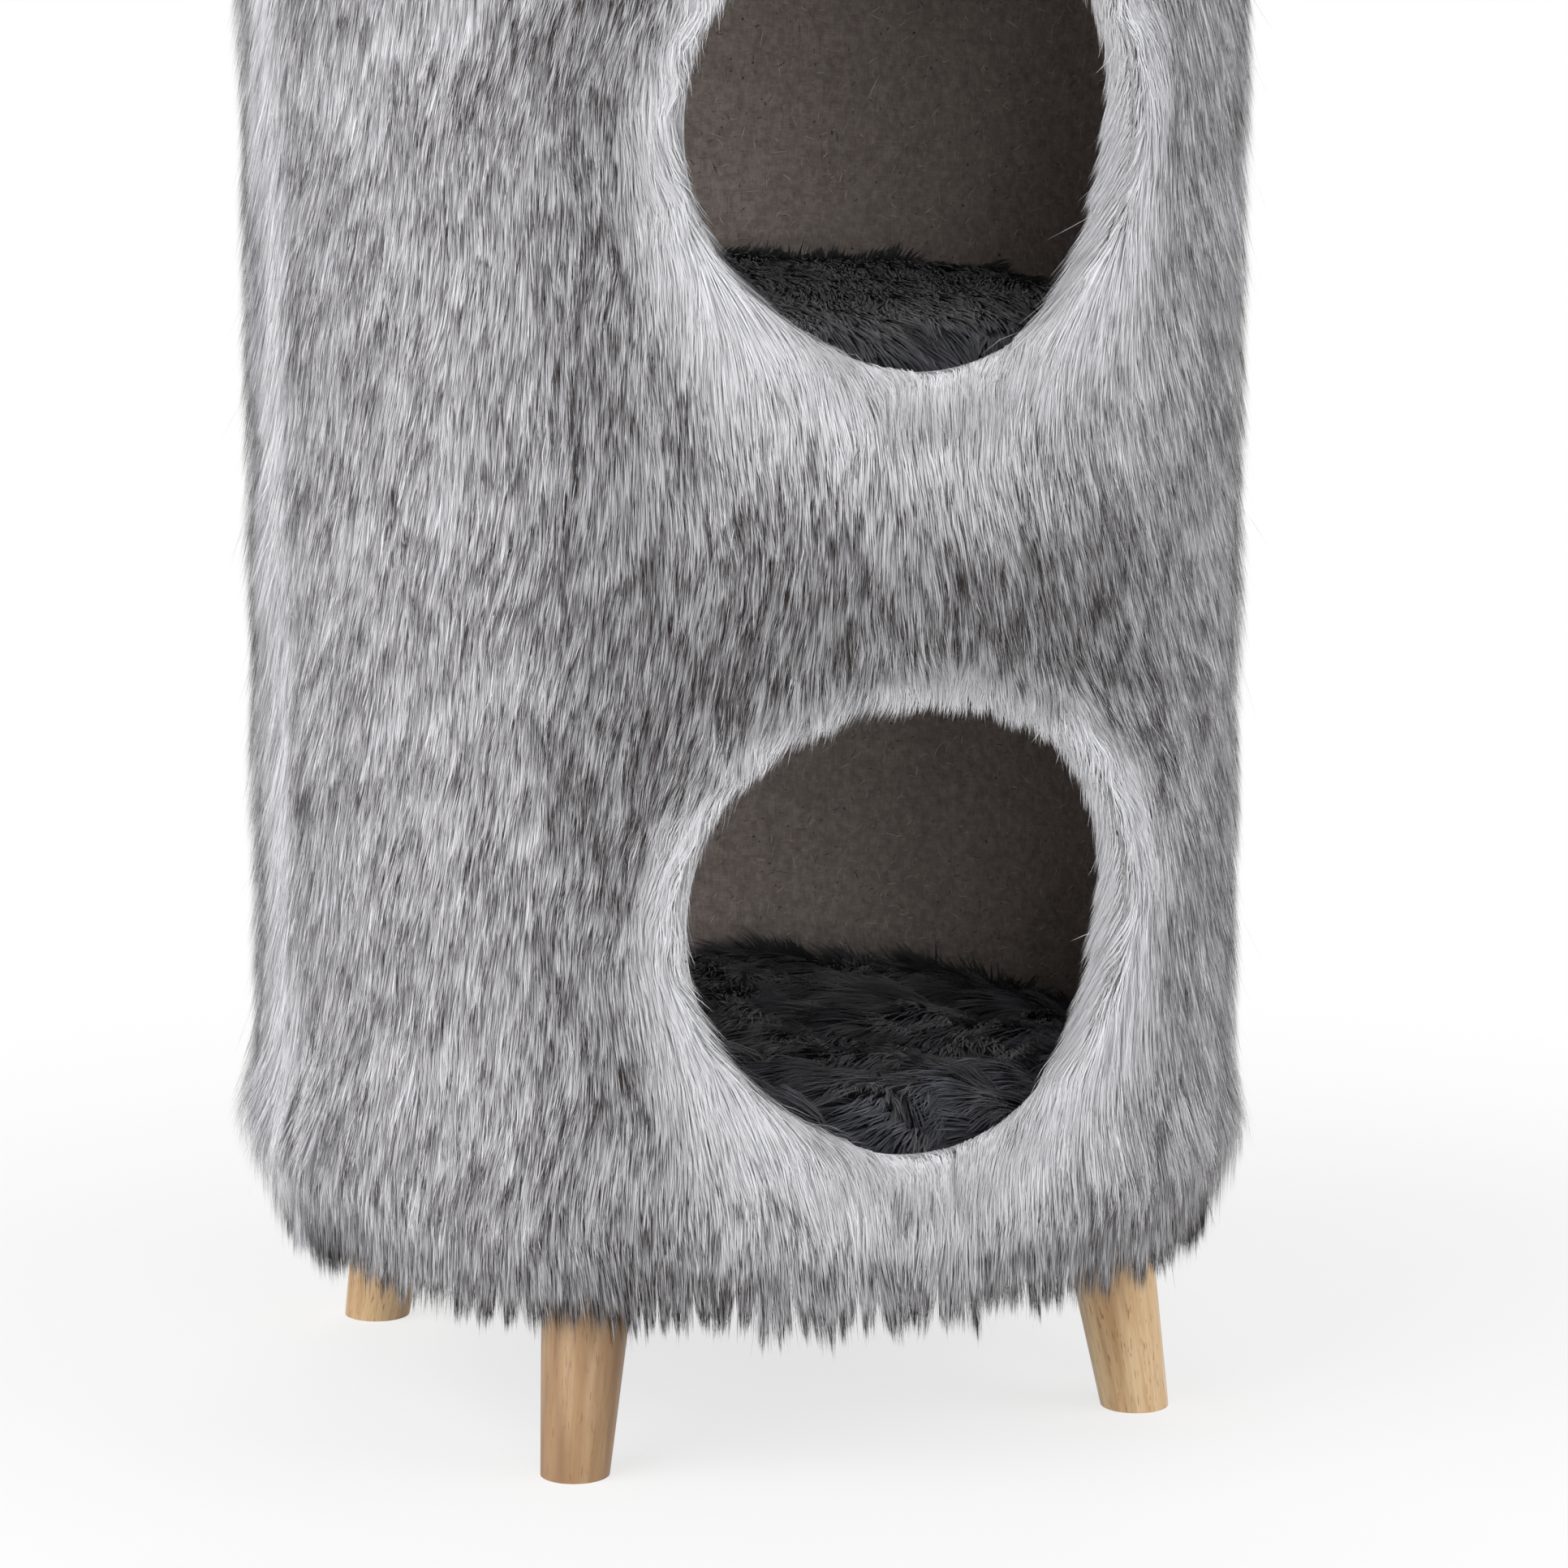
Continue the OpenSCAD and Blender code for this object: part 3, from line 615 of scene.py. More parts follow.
def coat(name, where, mat, full_mm, lift, width, tones, pull_by, sway_by, twist_by, shoulder, tuft):
    """A layer of the fur on the given roots. Its sizes are in millimetres."""
    lift, sway_by = np.array(lift) * MM, np.array(sway_by) * MM
    tuft = (tuft[0] * MM, tuft[1] * MM, tuft[2])
    at = look_round(*where, tuft)
    n, c, z, fold = at.n, at.c, at.z, at.fold
    full = full_mm * MM * (0.84 + 0.26 * c[0]) * (0.88 + 0.20 * rng.random(n))
    full = full + np.clip(at.cz, -tuft[1], tuft[1]) * 0.7
    rise = pile_height(at, lift)
    length = clip_hair(at, full)
    pull = np.clip(pull_by[0] + pull_by[1] * (c[4] - 0.5) + 0.1 * gauss(n), 0, 1.05)
    swing = (sway_by[0] + sway_by[1] * c[5] ** 2) * (0.6 + 0.8 * rng.random(n))
    wander = np.stack([swing, 6.3 * c[6] + 0.5 * gauss(n)], 1)
    # most strands are either dark-ended or pale to the end; their share varies over the skin
    inked = rng.random(n) < darkness(at, tones)
    rise = rise + np.where(inked, 1.9, -1.0) * MM * (1 - fold)
    # in the bands down the left of the front and between the doorways the pale strands' ends are darker too,
    # partly as painted shade
    tone = np.where(inked, tones[4], tones[3] + 0.32 * at.dusk) + 0.09 * gauss(n)
    tone = np.clip(tone, 0.0, 0.999)
    lead = fold ** 2 * (1 - 0.6 * at.under) * (0.08 + 0.4 * c[8] ** 2 + 0.2 * rng.random(n))
    stray = (rng.random(n) < STRAY) & (fold > 0.4)
    spiky = (c[8] > 0.62) * (at.right > 0.2) * share(1 - np.abs(at.up + 0.1) * 1.2)
    lead = lead + fold ** 2 * 0.55 * spiky
    lead[stray] = 0.5
    rise[stray] += rng.random(stray.sum()) * 4 * MM
    low = share((LOW_Z - z) / LOW_TALL)
    gather = np.clip(at.cs, -tuft[0], tuft[0]) * pull + np.clip(at.gs, -9 * MM, 9 * MM) * 0.28 * (1 - low)
    gather = gather + np.clip(at.hem_s, -HEM_TUFT, HEM_TUFT) * 0.75 * low
    pts, nrm, shade = grow(at.roots, length, rise, gather * (1 - fold), wander, lead, -1.5 * MM)
    fly = rng.random(n) < FLYING
    way = gauss((fly.sum(), 1, 3))
    pts[fly, 1:] += way * np.linspace(0.4, 3.5, SEGMENTS)[:, None] * MM
    # each strand's lightness: lowered down the left of the front and between the doorways as painted shade,
    # lowered near the hem, raised at the seams and where the dark ends are cut
    level = 6.0 - 3.2 * at.dusk - 0.5 * at.between - 1.9 * at.foot * (1 - at.cut) + 0.8 * at.seam
    level = level + 0.9 * at.cut + 0.5 * tone_b(at.along, z) + 0.6 * gauss(n)
    level = np.clip(np.rint(level), 0, ROWS - 1).astype(int)
    kept = length / full
    kept = np.where(at.shaped, np.maximum(kept, 0.80 + 0.2 * rng.random(n)), kept)
    kept = kept * (1 - 0.30 * at.seam * (0.5 + c[6]))
    t = np.linspace(0, 1, POINTS) * kept[:, None]
    twist = rng.normal(0, twist_by, n)
    shade = shade + 0.02 * gauss((n, 1, 3))
    wide = rng.uniform(width[0] * MM, width[1] * MM, n) * np.where(inked, 1.12, width[2])
    wide[stray] *= 0.6
    wide = wide * np.where(at.kind == 1, 0.78, 1.0)
    band = np.clip(((z - SKIN_LOW) / (SKIN_TOP - SKIN_LOW) * 3).astype(int), 0, 2)
    order = np.lexsort((at.along, band))
    most = int(PIECE_CORNERS / (2 * SEGMENTS - 1))
    sets = [order[band[order] == b] for b in range(3)]
    pieces = [i for ids in sets for i in np.array_split(ids, math.ceil(len(ids) / most))]
    for count, i in enumerate(pieces):
        ribbons("%s_%02d" % (name, count), pts[i], wide[i], nrm[i], twist[i], tone[i], level[i], t[i], mat,
                [1, 1, shoulder, 0], "tower", shade[i])


under_mat = strand_material("fur_undercoat", [(234, 234, 237), (216, 215, 218), (188, 186, 188)],
                            0.75, 0.60, 0.3, 0.75, 0.06, 0, 0.085, (0.40, 0.25))
guard_mat = strand_material("fur_guard_hair", [(234, 234, 237), (218, 217, 220), (38, 28, 26)],
                            0.86, 0.62, 0.07, 0.6, 0.06, 0, 0.085, (0.40, 0.25))

coat("fur_under", all_roots(0.43e6, 1.10e6, 0.5e6, 0.6e6), under_mat, full_mm=36, lift=(9.4, 1.4, 0.4),
     width=(0.28, 0.46, 1.0), tones=(0.0, 0.0, 0.0, 0.1, 0.8), pull_by=(0.30, 0.3), sway_by=(0.2, 0.6),
     twist_by=0.10, shoulder=0.8, tuft=(3.6, 9, 5))
coat("fur_guard", all_roots(0.46e6, 0.50e6, 0.6e6, 0.4e6), guard_mat, full_mm=46, lift=(10.4, 1.6, 0.7),
     width=(0.20, 0.32, 1.1), tones=(0.40, 0.46, 0.15, 0.06, 0.98), pull_by=(0.40, 0.5), sway_by=(0.2, 0.7),
     twist_by=0.15, shoulder=0.9, tuft=(2.3, 11, 15))


def rim_fur(count):
    """Short hair inside the top edge, from the middle of the tube's end down to the top board."""
    r_in, r_mid, bend = BORE_R - 2.4 * MM, BORE_R + 2.5 * MM, 4 * MM
    arc, flat, wall = bend * np.pi / 2, r_mid - r_in - bend, SKIN_TOP - bend - FLOORS[2] - 10 * MM
    u = rng.random(count) * (arc + flat + wall)
    a = rng.random(count) * 2 * np.pi
    ph = np.clip((u - flat) / bend, 0, np.pi / 2)
    r = r_in + bend - bend * np.sin(ph) + np.maximum(flat - u, 0)
    z = SKIN_TOP - bend + bend * np.cos(ph) - np.maximum(u - flat - arc, 0)
    out = on_ring(1, a, 0 * a)
    up = np.array([0, 0, 1.0])
    n = -np.sin(ph)[:, None] * out + np.cos(ph)[:, None] * up
    down = -np.cos(ph)[:, None] * out - np.sin(ph)[:, None] * up
    round_it = np.stack([np.cos(a), np.sin(a), 0 * a], 1)
    cs, _, number = clumps(a * r_in, u, 4 * MM, 8 * MM, 77, 2 * np.pi * r_in)
    c = per_clump(number, 78, 4).T
    length = (17 + 9 * c[0] + 3 * rng.random(count)) * MM
    length = np.minimum(length, np.maximum(z - FLOORS[2] - 4 * MM, 6 * MM))
    rise = (5.2 + 4.5 * np.cos(ph) + 2.2 * (c[1] - 0.5) + 0.4 * gauss(count)) * MM
    root = out * r[:, None] + up * z[:, None]
    pts = np.empty((count, POINTS, 3))
    for i, q in enumerate(np.linspace(0, 1, POINTS)):
        way = unit(down * (1 - 0.7 * q) - up * 0.7 * q)
        side = (-cs * 0.6 * q ** 1.5 + (c[2] - 0.5) * 6 * MM * q)[:, None] * round_it
        high = rise * (1 - np.exp(-3 * q)) - 1.5 * MM
        pts[:, i] = root + way * (length * q)[:, None] + n * high[:, None] + side
    tone = np.clip(0.55 + 0.5 * (c[3] - 0.5) + 0.2 * gauss(count), 0, 0.999)
    nrm = np.repeat(n[:, None, :], POINTS, 1)
    ribbons("fur_rim", pts, rng.uniform(0.3 * MM, 0.55 * MM, count), nrm, rng.normal(0, 0.2, count), tone,
            rng.integers(ROWS - 3, ROWS, count), along_strand(0.1, 0.8, count), guard_mat,
            [1, 1, 0.8, 0], "tower", nrm + 0.1 * gauss((count, 1, 3)))


rim_fur(30000)

# ---- backing cloth

def cut_finer(me, times, longest):
    """The front is cut finer, so that the doorways' edges stay round."""
    bm = bmesh.new()
    bm.from_mesh(me)
    for _ in range(times):
        far = [e for e in bm.edges if e.calc_length() > longest and max(v.co.y for v in e.verts) < -0.10 and
               abs(e.verts[0].co.x + e.verts[1].co.x) < 0.24]
        if not far:
            break
        bmesh.ops.subdivide_edges(bm, edges=far, cuts=1)
        bmesh.ops.triangulate(bm, faces=[f for f in bm.faces if len(f.verts) > 4])
    bm.to_mesh(me)
    bm.free()


def backing():
    """The cover's cloth, drawn in to lie under the fur: thin outside, and tight on the tube inside."""
    me = nodes["fur_cover"].data.copy()
    me.name = "fur_backing"
    cut_finer(me, 7, 6 * MM)
    x, y, z = points_of(me).T
    r = np.hypot(x, y)
    lip = (y < 0) & (np.minimum(np.hypot(x, z - DOORS[0]), np.hypot(x, z - DOORS[1])) < DOOR_R + 3 * MM)
    near, high, low = TUBE_R + 0.2 * MM, TUBE_TOP + 0.2 * MM, BASE_Z - 1.6 * MM
    thinner = (SKIN_R - 3.2 * MM - TUBE_R) / (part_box("fur_cover")[1][0] - TUBE_R)
    r2 = np.where(r > TUBE_R + 0.3 * MM, near + (r - near) * thinner, r)
    r2 = np.where(lip & (r > TUBE_R), TUBE_R + 0.25 * MM, r2)
    rim = (z > FLOORS[2] + 1 * MM) & (r < BORE_R - 1 * MM)
    r2 = np.where(rim, BORE_R - 1.6 * MM, r2)
    x2, y2 = x * r2 / r, y * r2 / r
    z2 = np.where(z > TUBE_TOP + 0.3 * MM, high + (z - high) * 0.12, z)
    z2 = np.where(z2 < low, low + (z2 - low) * 0.15, z2)
    for zc in DOORS:  # the cloth wraps the tube's cut edge
        rho = np.hypot(x2, z2 - zc)
        f = np.where((y2 < 0) & (rho < DOORWAY) & (rho > 0.05), DOORWAY / rho, 1)
        x2, z2 = x2 * f, zc + (z2 - zc) * f
    set_points(me, np.stack([x2, y2, z2], 1))
    o = link("fur_backing", me)
    m = Nodes("backing_cloth")
    f = m.noise(m.coords((1, 1, 0.25)), 900, 3, 0.6)
    m.bump(f, 0.4, 0.0006)
    dress(o, m.finish(m.ramp(f, (0.3, (150, 149, 150)), (0.7, (205, 205, 206))), 0.85))
    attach(o, "tower")
    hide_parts("fur_cover")


backing()

# ---- felt

def felt_finish(name, dark, mid, pale):
    """Pressed felt: mottled, with threads, lint and dark specks."""
    m = Nodes(name)
    v = m.coords()
    mottle = m.noise(v, 260, 4, 0.65)
    cloud = m.noise(v, 22, 3, 0.55)
    warp = m.noise(m.coords((1, 1, 0.14)), 1700, 2, 0.6)
    weft = m.noise(m.coords((0.16, 0.16, 1)), 1700, 2, 0.6)
    threads = m.times(m.plus(warp, weft), 0.5)
    f = m.plus(m.times(threads, 0.40), m.times(cloud, 0.15))
    f = m.plus(m.times(mottle, 0.45), f)
    colour = m.ramp(f, (0.34, dark), (0.50, mid), (0.66, pale))
    lint = m.noise(m.coords((1, 0.35, 0.6), (0.5, 0.3, 0.9)), 900, 2, 0.5)
    lint = m.ramp(lint, (0.70, 0.0), (0.76, 1.0))
    colour = m.mix(m.times(lint, 0.35), colour, scaled(pale, 1.5))
    speck = m.ramp(m.noise(m.coords(loc=(3, 1, 2)), 520, 1, 0.4), (0.22, 1.0), (0.27, 0.0))
    colour = m.mix(m.times(speck, 0.75), colour, scaled(dark, 0.25))
    m.bump(m.plus(f, m.times(lint, 0.3)), 0.5, 0.0008)
    return m.finish(colour, 0.95, Sheen_Weight=0.15, Specular_IOR_Level=0.1)


wall_felt = felt_finish("cave_felt", (136, 126, 121), (174, 162, 156), (208, 197, 189))
fibre_mat = strand_material("felt_fibres", [(214, 206, 194), (240, 232, 220), (84, 76, 70)],
                            0.9, 0.05, 0.3, 0.8, 0.1, 0, 0.05)
LINER_R = min(v.co.xy.length for v in nodes["upper_wall_liner"].data.vertices)


def felt_fibres(name, low, high, zc, seed, count):
    """Loose pale fibres that lie on a cave's wall."""
    r = np.random.default_rng(seed)
    wall = LINER_R - 0.25 * MM
    a = r.random(count) * 2 * np.pi
    z = low + r.random(count) * (high - low)
    keep = ~((np.cos(a) > 0) & (np.hypot(wall * np.sin(a), z - zc) < 0.1))
    a, z = a[keep], z[keep]
    n = len(a)
    way = r.normal(0.9, 0.7, n)
    step = (r.gamma(3.0, 0.9, n) * MM + 1.5 * MM) / SEGMENTS
    turn = r.normal(0, 0.22, n)
    pts = np.empty((n, POINTS, 3))
    s = h = np.zeros(n)
    for i in range(POINTS):
        lift = (0.35 + 0.5 * r.random(n) * (0 < i < SEGMENTS)) * MM
        pts[:, i] = on_ring(wall - lift, a + s / wall, np.clip(z + h, low, high))
        s, h = s + np.cos(way + turn * i) * step, h - np.sin(way + turn * i) * step
    inward = -pts / np.linalg.norm(pts[:, :, :2], axis=2, keepdims=True)
    inward[:, :, 2] = 0
    ribbons(name, pts, r.uniform(0.22 * MM, 0.38 * MM, n), inward, r.normal(0, 0.2, n),
            (r.random(n) < 0.2) * 0.9, r.integers(0, ROWS, n), along_strand(0.2, 0.9, n), fibre_mat,
            [0.7, 1, 1, 0], "tower")


for i, cave in enumerate(("lower", "upper")):
    low, high = low_of(cave + "_wall_liner") + 2 * MM, top_of(cave + "_wall_liner") - 1 * MM
    felt_fibres(cave + "_cave_fibres", low, high, DOORS[i], 301 + i, 6500)

# ---- wood, boards and metal

# Each leg's turn, its place in the grain, and its wood: middle, dark and pale. The front left leg's colours
# are darker than its wood, as painted shade
WOODS = {"front_left": (225, 0, (153, 122, 88), (130, 98, 66), (176, 148, 114)),
         "front_right": (315, 1.7, (198, 167, 127), (170, 135, 94), (211, 184, 146)),
         "rear_left": (135, 3.1, (196, 166, 126), (168, 134, 94), (210, 184, 147)),
         "rear_right": (45, 4.6, (200, 172, 134), (174, 141, 101), (214, 190, 155))}
LEG_TILT = radians(10)
LEG_OUT = 0.150


def leg_finish(name, deg, offset, base, tan, pale):
    """Clear-lacquered wood whose grain runs along the leg."""
    m = Nodes("leg_wood_" + name)
    tilt = Matrix.Rotation(LEG_TILT, 3, "Y")
    rot = (tilt @ Matrix.Rotation(-radians(deg), 3, "Z")).to_euler("XYZ")
    off = tilt @ Vector((LEG_OUT, 0, BASE_Z))
    along = m.coords(rot=rot, loc=tuple(offset * 40 * MM - c for c in off))

    def grain(z, scale, detail=2, rough=0.5, shift=0.0):
        place = m.add("Mapping", {0: along, "Location": (shift, shift, 0), "Scale": (1, 1, z)})
        return m.noise(place.outputs[0], scale, detail, rough)

    warp = m.times(grain(0.22, 60), 0.25)
    fine = grain(0.035, 900, 3, 0.6)
    band = m.plus(m.times(grain(0.07, 95, 2, 0.55, 0.3), 0.75), warp)
    colour = m.ramp(band, (0.36, tan), (0.50, base), (0.62, pale))
    streak = m.ramp(grain(0.05, 330, 3, 0.6, 0.7), (0.52, 0.0), (0.70, 1.0))
    colour = m.mix(m.times(streak, 0.42), colour, scaled(tan, 0.62))
    line = m.ramp(fine, (0.4, 1.0), (0.6, 0.0))
    colour = m.mix(m.times(line, 0.16), colour, scaled(tan, 0.7))
    pore = m.ramp(grain(0.085, 1500, 1, 0.4, 1.3), (0.655, 0.0), (0.70, 1.0))
    colour = m.mix(m.times(pore, 0.72), colour, srgb(128, 88, 52))
    m.bump(m.scale_add(pore, -0.6, fine), 0.12, 0.0004)
    rough = m.scale_add(fine, 0.14, 0.34)
    return m.finish(colour, rough, Coat_Weight=0.05, Coat_Roughness=0.3, Specular_IOR_Level=0.4)


def board_finish(name, dark, pale, scale):
    m = Nodes(name)
    f = m.noise(m.coords(), scale, 4, 0.7)
    g = m.noise(m.coords((1, 1, 4)), scale * 0.18, 3, 0.6)
    both = m.scale_add(g, 0.4, m.times(f, 0.6))
    m.bump(f, 0.35, 0.0006)
    return m.finish(m.ramp(both, (0.35, dark), (0.65, pale)), 0.85, Specular_IOR_Level=0.2)


def paper_finish():
    """Brown paperboard, wound on a slope."""
    m = Nodes("tube_paperboard")
    fibres = m.noise(m.coords((1, 1, 0.25)), 700, 3, 0.6)
    cloud = m.noise(m.coords(), 18, 3, 0.5)
    wind = m.add("TexWave", {"Vector": m.coords(rot=(0.12, 0, 0)), "Scale": 3.5},
                 wave_type="BANDS", bands_direction="Z", wave_profile="SAW")
    ply = m.ramp(wind.outputs["Fac"], (0.0, 1.0), (0.03, 0.0))
    f = m.scale_add(cloud, 0.4, m.times(fibres, 0.6))
    colour = m.ramp(f, (0.35, (139, 107, 74)), (0.65, (176, 142, 103)))
    colour = m.mix(m.times(ply, 0.5), colour, srgb(104, 78, 52))
    m.bump(m.scale_add(ply, -0.6, fibres), 0.3, 0.0005)
    return m.finish(colour, 0.8, Specular_IOR_Level=0.2)


def dust_cloth_finish():
    """Black spun-bonded cloth with its grid of pressed points."""
    m = Nodes("underside_cloth")
    dots = m.add("TexVoronoi", {"Vector": m.coords(rot=(0, 0, 0.6)), "Scale": 620, "Randomness": 0.15})
    point = m.ramp(dots.outputs["Distance"], (0.22, 1.0), (0.36, 0.0))
    fibres = m.noise(m.coords((1, 0.3, 1), (0, 0, 0.4)), 1500, 3, 0.6)
    colour = m.ramp(fibres, (0.35, (24, 24, 25)), (0.65, (58, 58, 60)))
    colour = m.mix(m.times(point, 0.6), colour, srgb(18, 18, 19))
    m.bump(m.scale_add(point, -0.7, fibres), 0.6, 0.0004)
    return m.finish(colour, 0.85, Specular_IOR_Level=0.2)


def steel_finish(name, dark, pale, rough, spangle):
    """Brushed or, with spangle, galvanised steel with a faint stain."""
    m = Nodes(name)
    v = m.coords()
    brushed = m.noise(m.coords((1, 0.05, 0.3)), 1600, 3, 0.6)
    tint = brushed
    if spangle:
        cells = m.add("TexVoronoi", {"Vector": v, "Scale": 240})
        tint = m.scale_add(cells.outputs["Color"], 0.5, m.times(brushed, 0.5))
    stain = m.times(m.ramp(m.noise(v, 45, 3, 0.6), (0.5, 0.0), (0.75, 1.0)), 0.25)
    colour = m.mix(stain, m.ramp(tint, (0.3, dark), (0.7, pale)), scaled(dark, 0.5))
    m.bump(brushed, 0.10, 0.0003)
    return m.finish(colour, m.scale_add(brushed, 0.2, rough), Metallic=1.0)


def hand_out():
    """Each CAD node that still shows gets its finish."""
    fibreboard = board_finish("fibreboard", (133, 102, 70), (176, 143, 104), 520)
    plate = steel_finish("plate_steel", (150, 151, 153), (196, 197, 199), 0.28, True)
    zinc = steel_finish("zinc_steel", (176, 176, 172), (218, 218, 214), 0.22, False)
    filling = board_finish("fibre_filling", (214, 214, 212), (240, 240, 238), 240)
    # the first word that a node's name holds decides
    finishes = {"screws": zinc, "plate": plate, "bolt": zinc, "staples": zinc, "felt": wall_felt,
                "liner": wall_felt, "filling": filling, "barrel_tube": paper_finish(),
                "underside_cloth": dust_cloth_finish(), "board": fibreboard, "shelf": fibreboard}
    woods = {"leg_" + leg: leg_finish(leg, *wood) for leg, wood in WOODS.items()}
    for n, o in nodes.items():
        word = next((w for w in finishes if w in n), None)
        if n in woods:
            dress(o, woods[n])
            worn = o.modifiers.new("worn_edge", "BEVEL")
            worn.width, worn.segments = 1.8 * MM, 3
            worn.limit_method, worn.angle_limit = "ANGLE", radians(50)
        elif word:
            dress(o, finishes[word])


hand_out()

# ---- cushions

def profile(z0, crown, r_side):
    """The pad's half section, from the middle of its underside to its crown."""
    side, steps = 15 * MM, 11
    prof = [(0.0, z0), (r_side - 16 * MM, z0), (r_side - 6 * MM, z0 + 1 * MM)]
    prof += [(r_side - 1.5 * MM, z0 + 4.5 * MM), (r_side, z0 + side * 0.8)]
    for i in range(1, steps + 1):
        u = i / steps
        r = r_side * math.cos(u * math.pi / 2) * (1 - 0.02 * u)
        prof.append((r, z0 + side + (crown - z0 - side) * math.sin(u * math.pi / 2) ** 0.5))
    return prof


def cushion_shape(tag, z0, crown, r_side):
    """The pad's start shape: a round, crowned closed form, flat under."""
    seg = 72
    turns = [2 * math.pi * i / seg for i in range(seg)]
    bm = bmesh.new()
    rings = []
    for r, z in profile(z0, crown, r_side):
        ring = [(r * math.sin(t), -r * math.cos(t), z) for t in turns] if r >= 1e-4 else [(0, 0, z)]
        rings.append([bm.verts.new(co) for co in ring])
    for lo, hi in zip(rings, rings[1:]):
        for i in range(seg):
            j = (i + 1) % seg
            a, b = lo[i % len(lo)], lo[j % len(lo)]
            c, d = hi[j % len(hi)], hi[i % len(hi)]
            bm.faces.new([a] + ([b] if b is not a else []) + [c] + ([d] if d is not c else []))
    bmesh.ops.recalc_face_normals(bm, faces=bm.faces)
    me = bpy.data.meshes.new(tag)
    bm.to_mesh(me)
    bm.free()
    o = link(tag, me)
    even = o.modifiers.new("remesh", "REMESH")
    even.mode, even.voxel_size = "VOXEL", 5 * MM
    bpy.context.view_layer.update()
    o.data = bpy.data.meshes.new_from_object(o.evaluated_get(bpy.context.evaluated_depsgraph_get()))
    o.modifiers.clear()
    o.data.name = tag
    return o


def inflate(shapes):
    """Each pad swells under pressure, so that its cover pulls and wrinkles."""
    frames, most = 20, 9 * MM
    for o in shapes:
        md = o.modifiers.new("Cloth", "CLOTH")
        s = md.settings
        s.quality, s.mass, s.use_pressure, s.uniform_pressure_force = 5, 0.3, True, 4.0
        s.effector_weights.gravity = 0
        s.tension_stiffness = s.compression_stiffness = 12
        s.bending_stiffness = 0.4
        md.collision_settings.use_collision = False
        md.point_cache.frame_start, md.point_cache.frame_end = 1, frames
    for f in range(1, frames + 1):
        bpy.context.scene.frame_set(f)
    dg = bpy.context.evaluated_depsgraph_get()
    swollen = [points_of(o.evaluated_get(dg).data) for o in shapes]
    for o, co in zip(shapes, swollen):
        start = points_of(o.data)
        o.modifiers.clear()
        far = np.linalg.norm(co - start, axis=1, keepdims=True)
        set_points(o.data, start + (co - start) * np.minimum(1, most / np.maximum(far, 1e-9)))
    bpy.context.scene.frame_set(1)


def settle(o, z0, crown, r_most, seed, lump):
    """It rests flat on the floor, and keeps clear of the wall and under its height."""
    co = points_of(o.data)
    x, y, z = co.T
    lumps = waves(np.random.default_rng(seed), 12, 0.022, 0.07)
    z += lump * lumps(x, y) * share((z - z0) / (crown - z0))
    z[:] = np.where(z > z0, z0 + (z - z0) * (crown - z0) / (z.max() - z0), z0)
    co[:, :2] *= min(1.0, r_most / (np.hypot(x, y).max() + 1e-9))
    set_points(o.data, co)
    o.data.polygons.foreach_set("use_smooth", np.ones(len(o.data.polygons), bool))
    finer = o.modifiers.new("finer", "SUBSURF")
    finer.levels = finer.render_levels = 1


def sample_top(me, count, r):
    """Random points on the pad's top and side, with normals."""
    me.calc_loop_triangles()
    tri = read(me.loop_triangles, "vertices", np.int32)
    co, vn = points_of(me), read(me.vertex_normals, "vector")
    a, b, c = co[tri[:, 0]], co[tri[:, 1]], co[tri[:, 2]]
    face = np.cross(b - a, c - a)
    size = np.linalg.norm(face, axis=1)
    size = size * (face[:, 2] / np.maximum(size, 1e-12) > -0.8)
    pick = r.choice(len(tri), count, p=size / size.sum())
    u, v = r.random(count), r.random(count)
    flip = u + v > 1
    u[flip], v[flip] = 1 - u[flip], 1 - v[flip]
    w = np.stack([1 - u - v, u, v], 1)[:, :, None]
    return (w * co[tri[pick]]).sum(1), unit((w * vn[tri[pick]]).sum(1))


def on_plane(d, n):
    return d - n * (d * n).sum(1, keepdims=True)


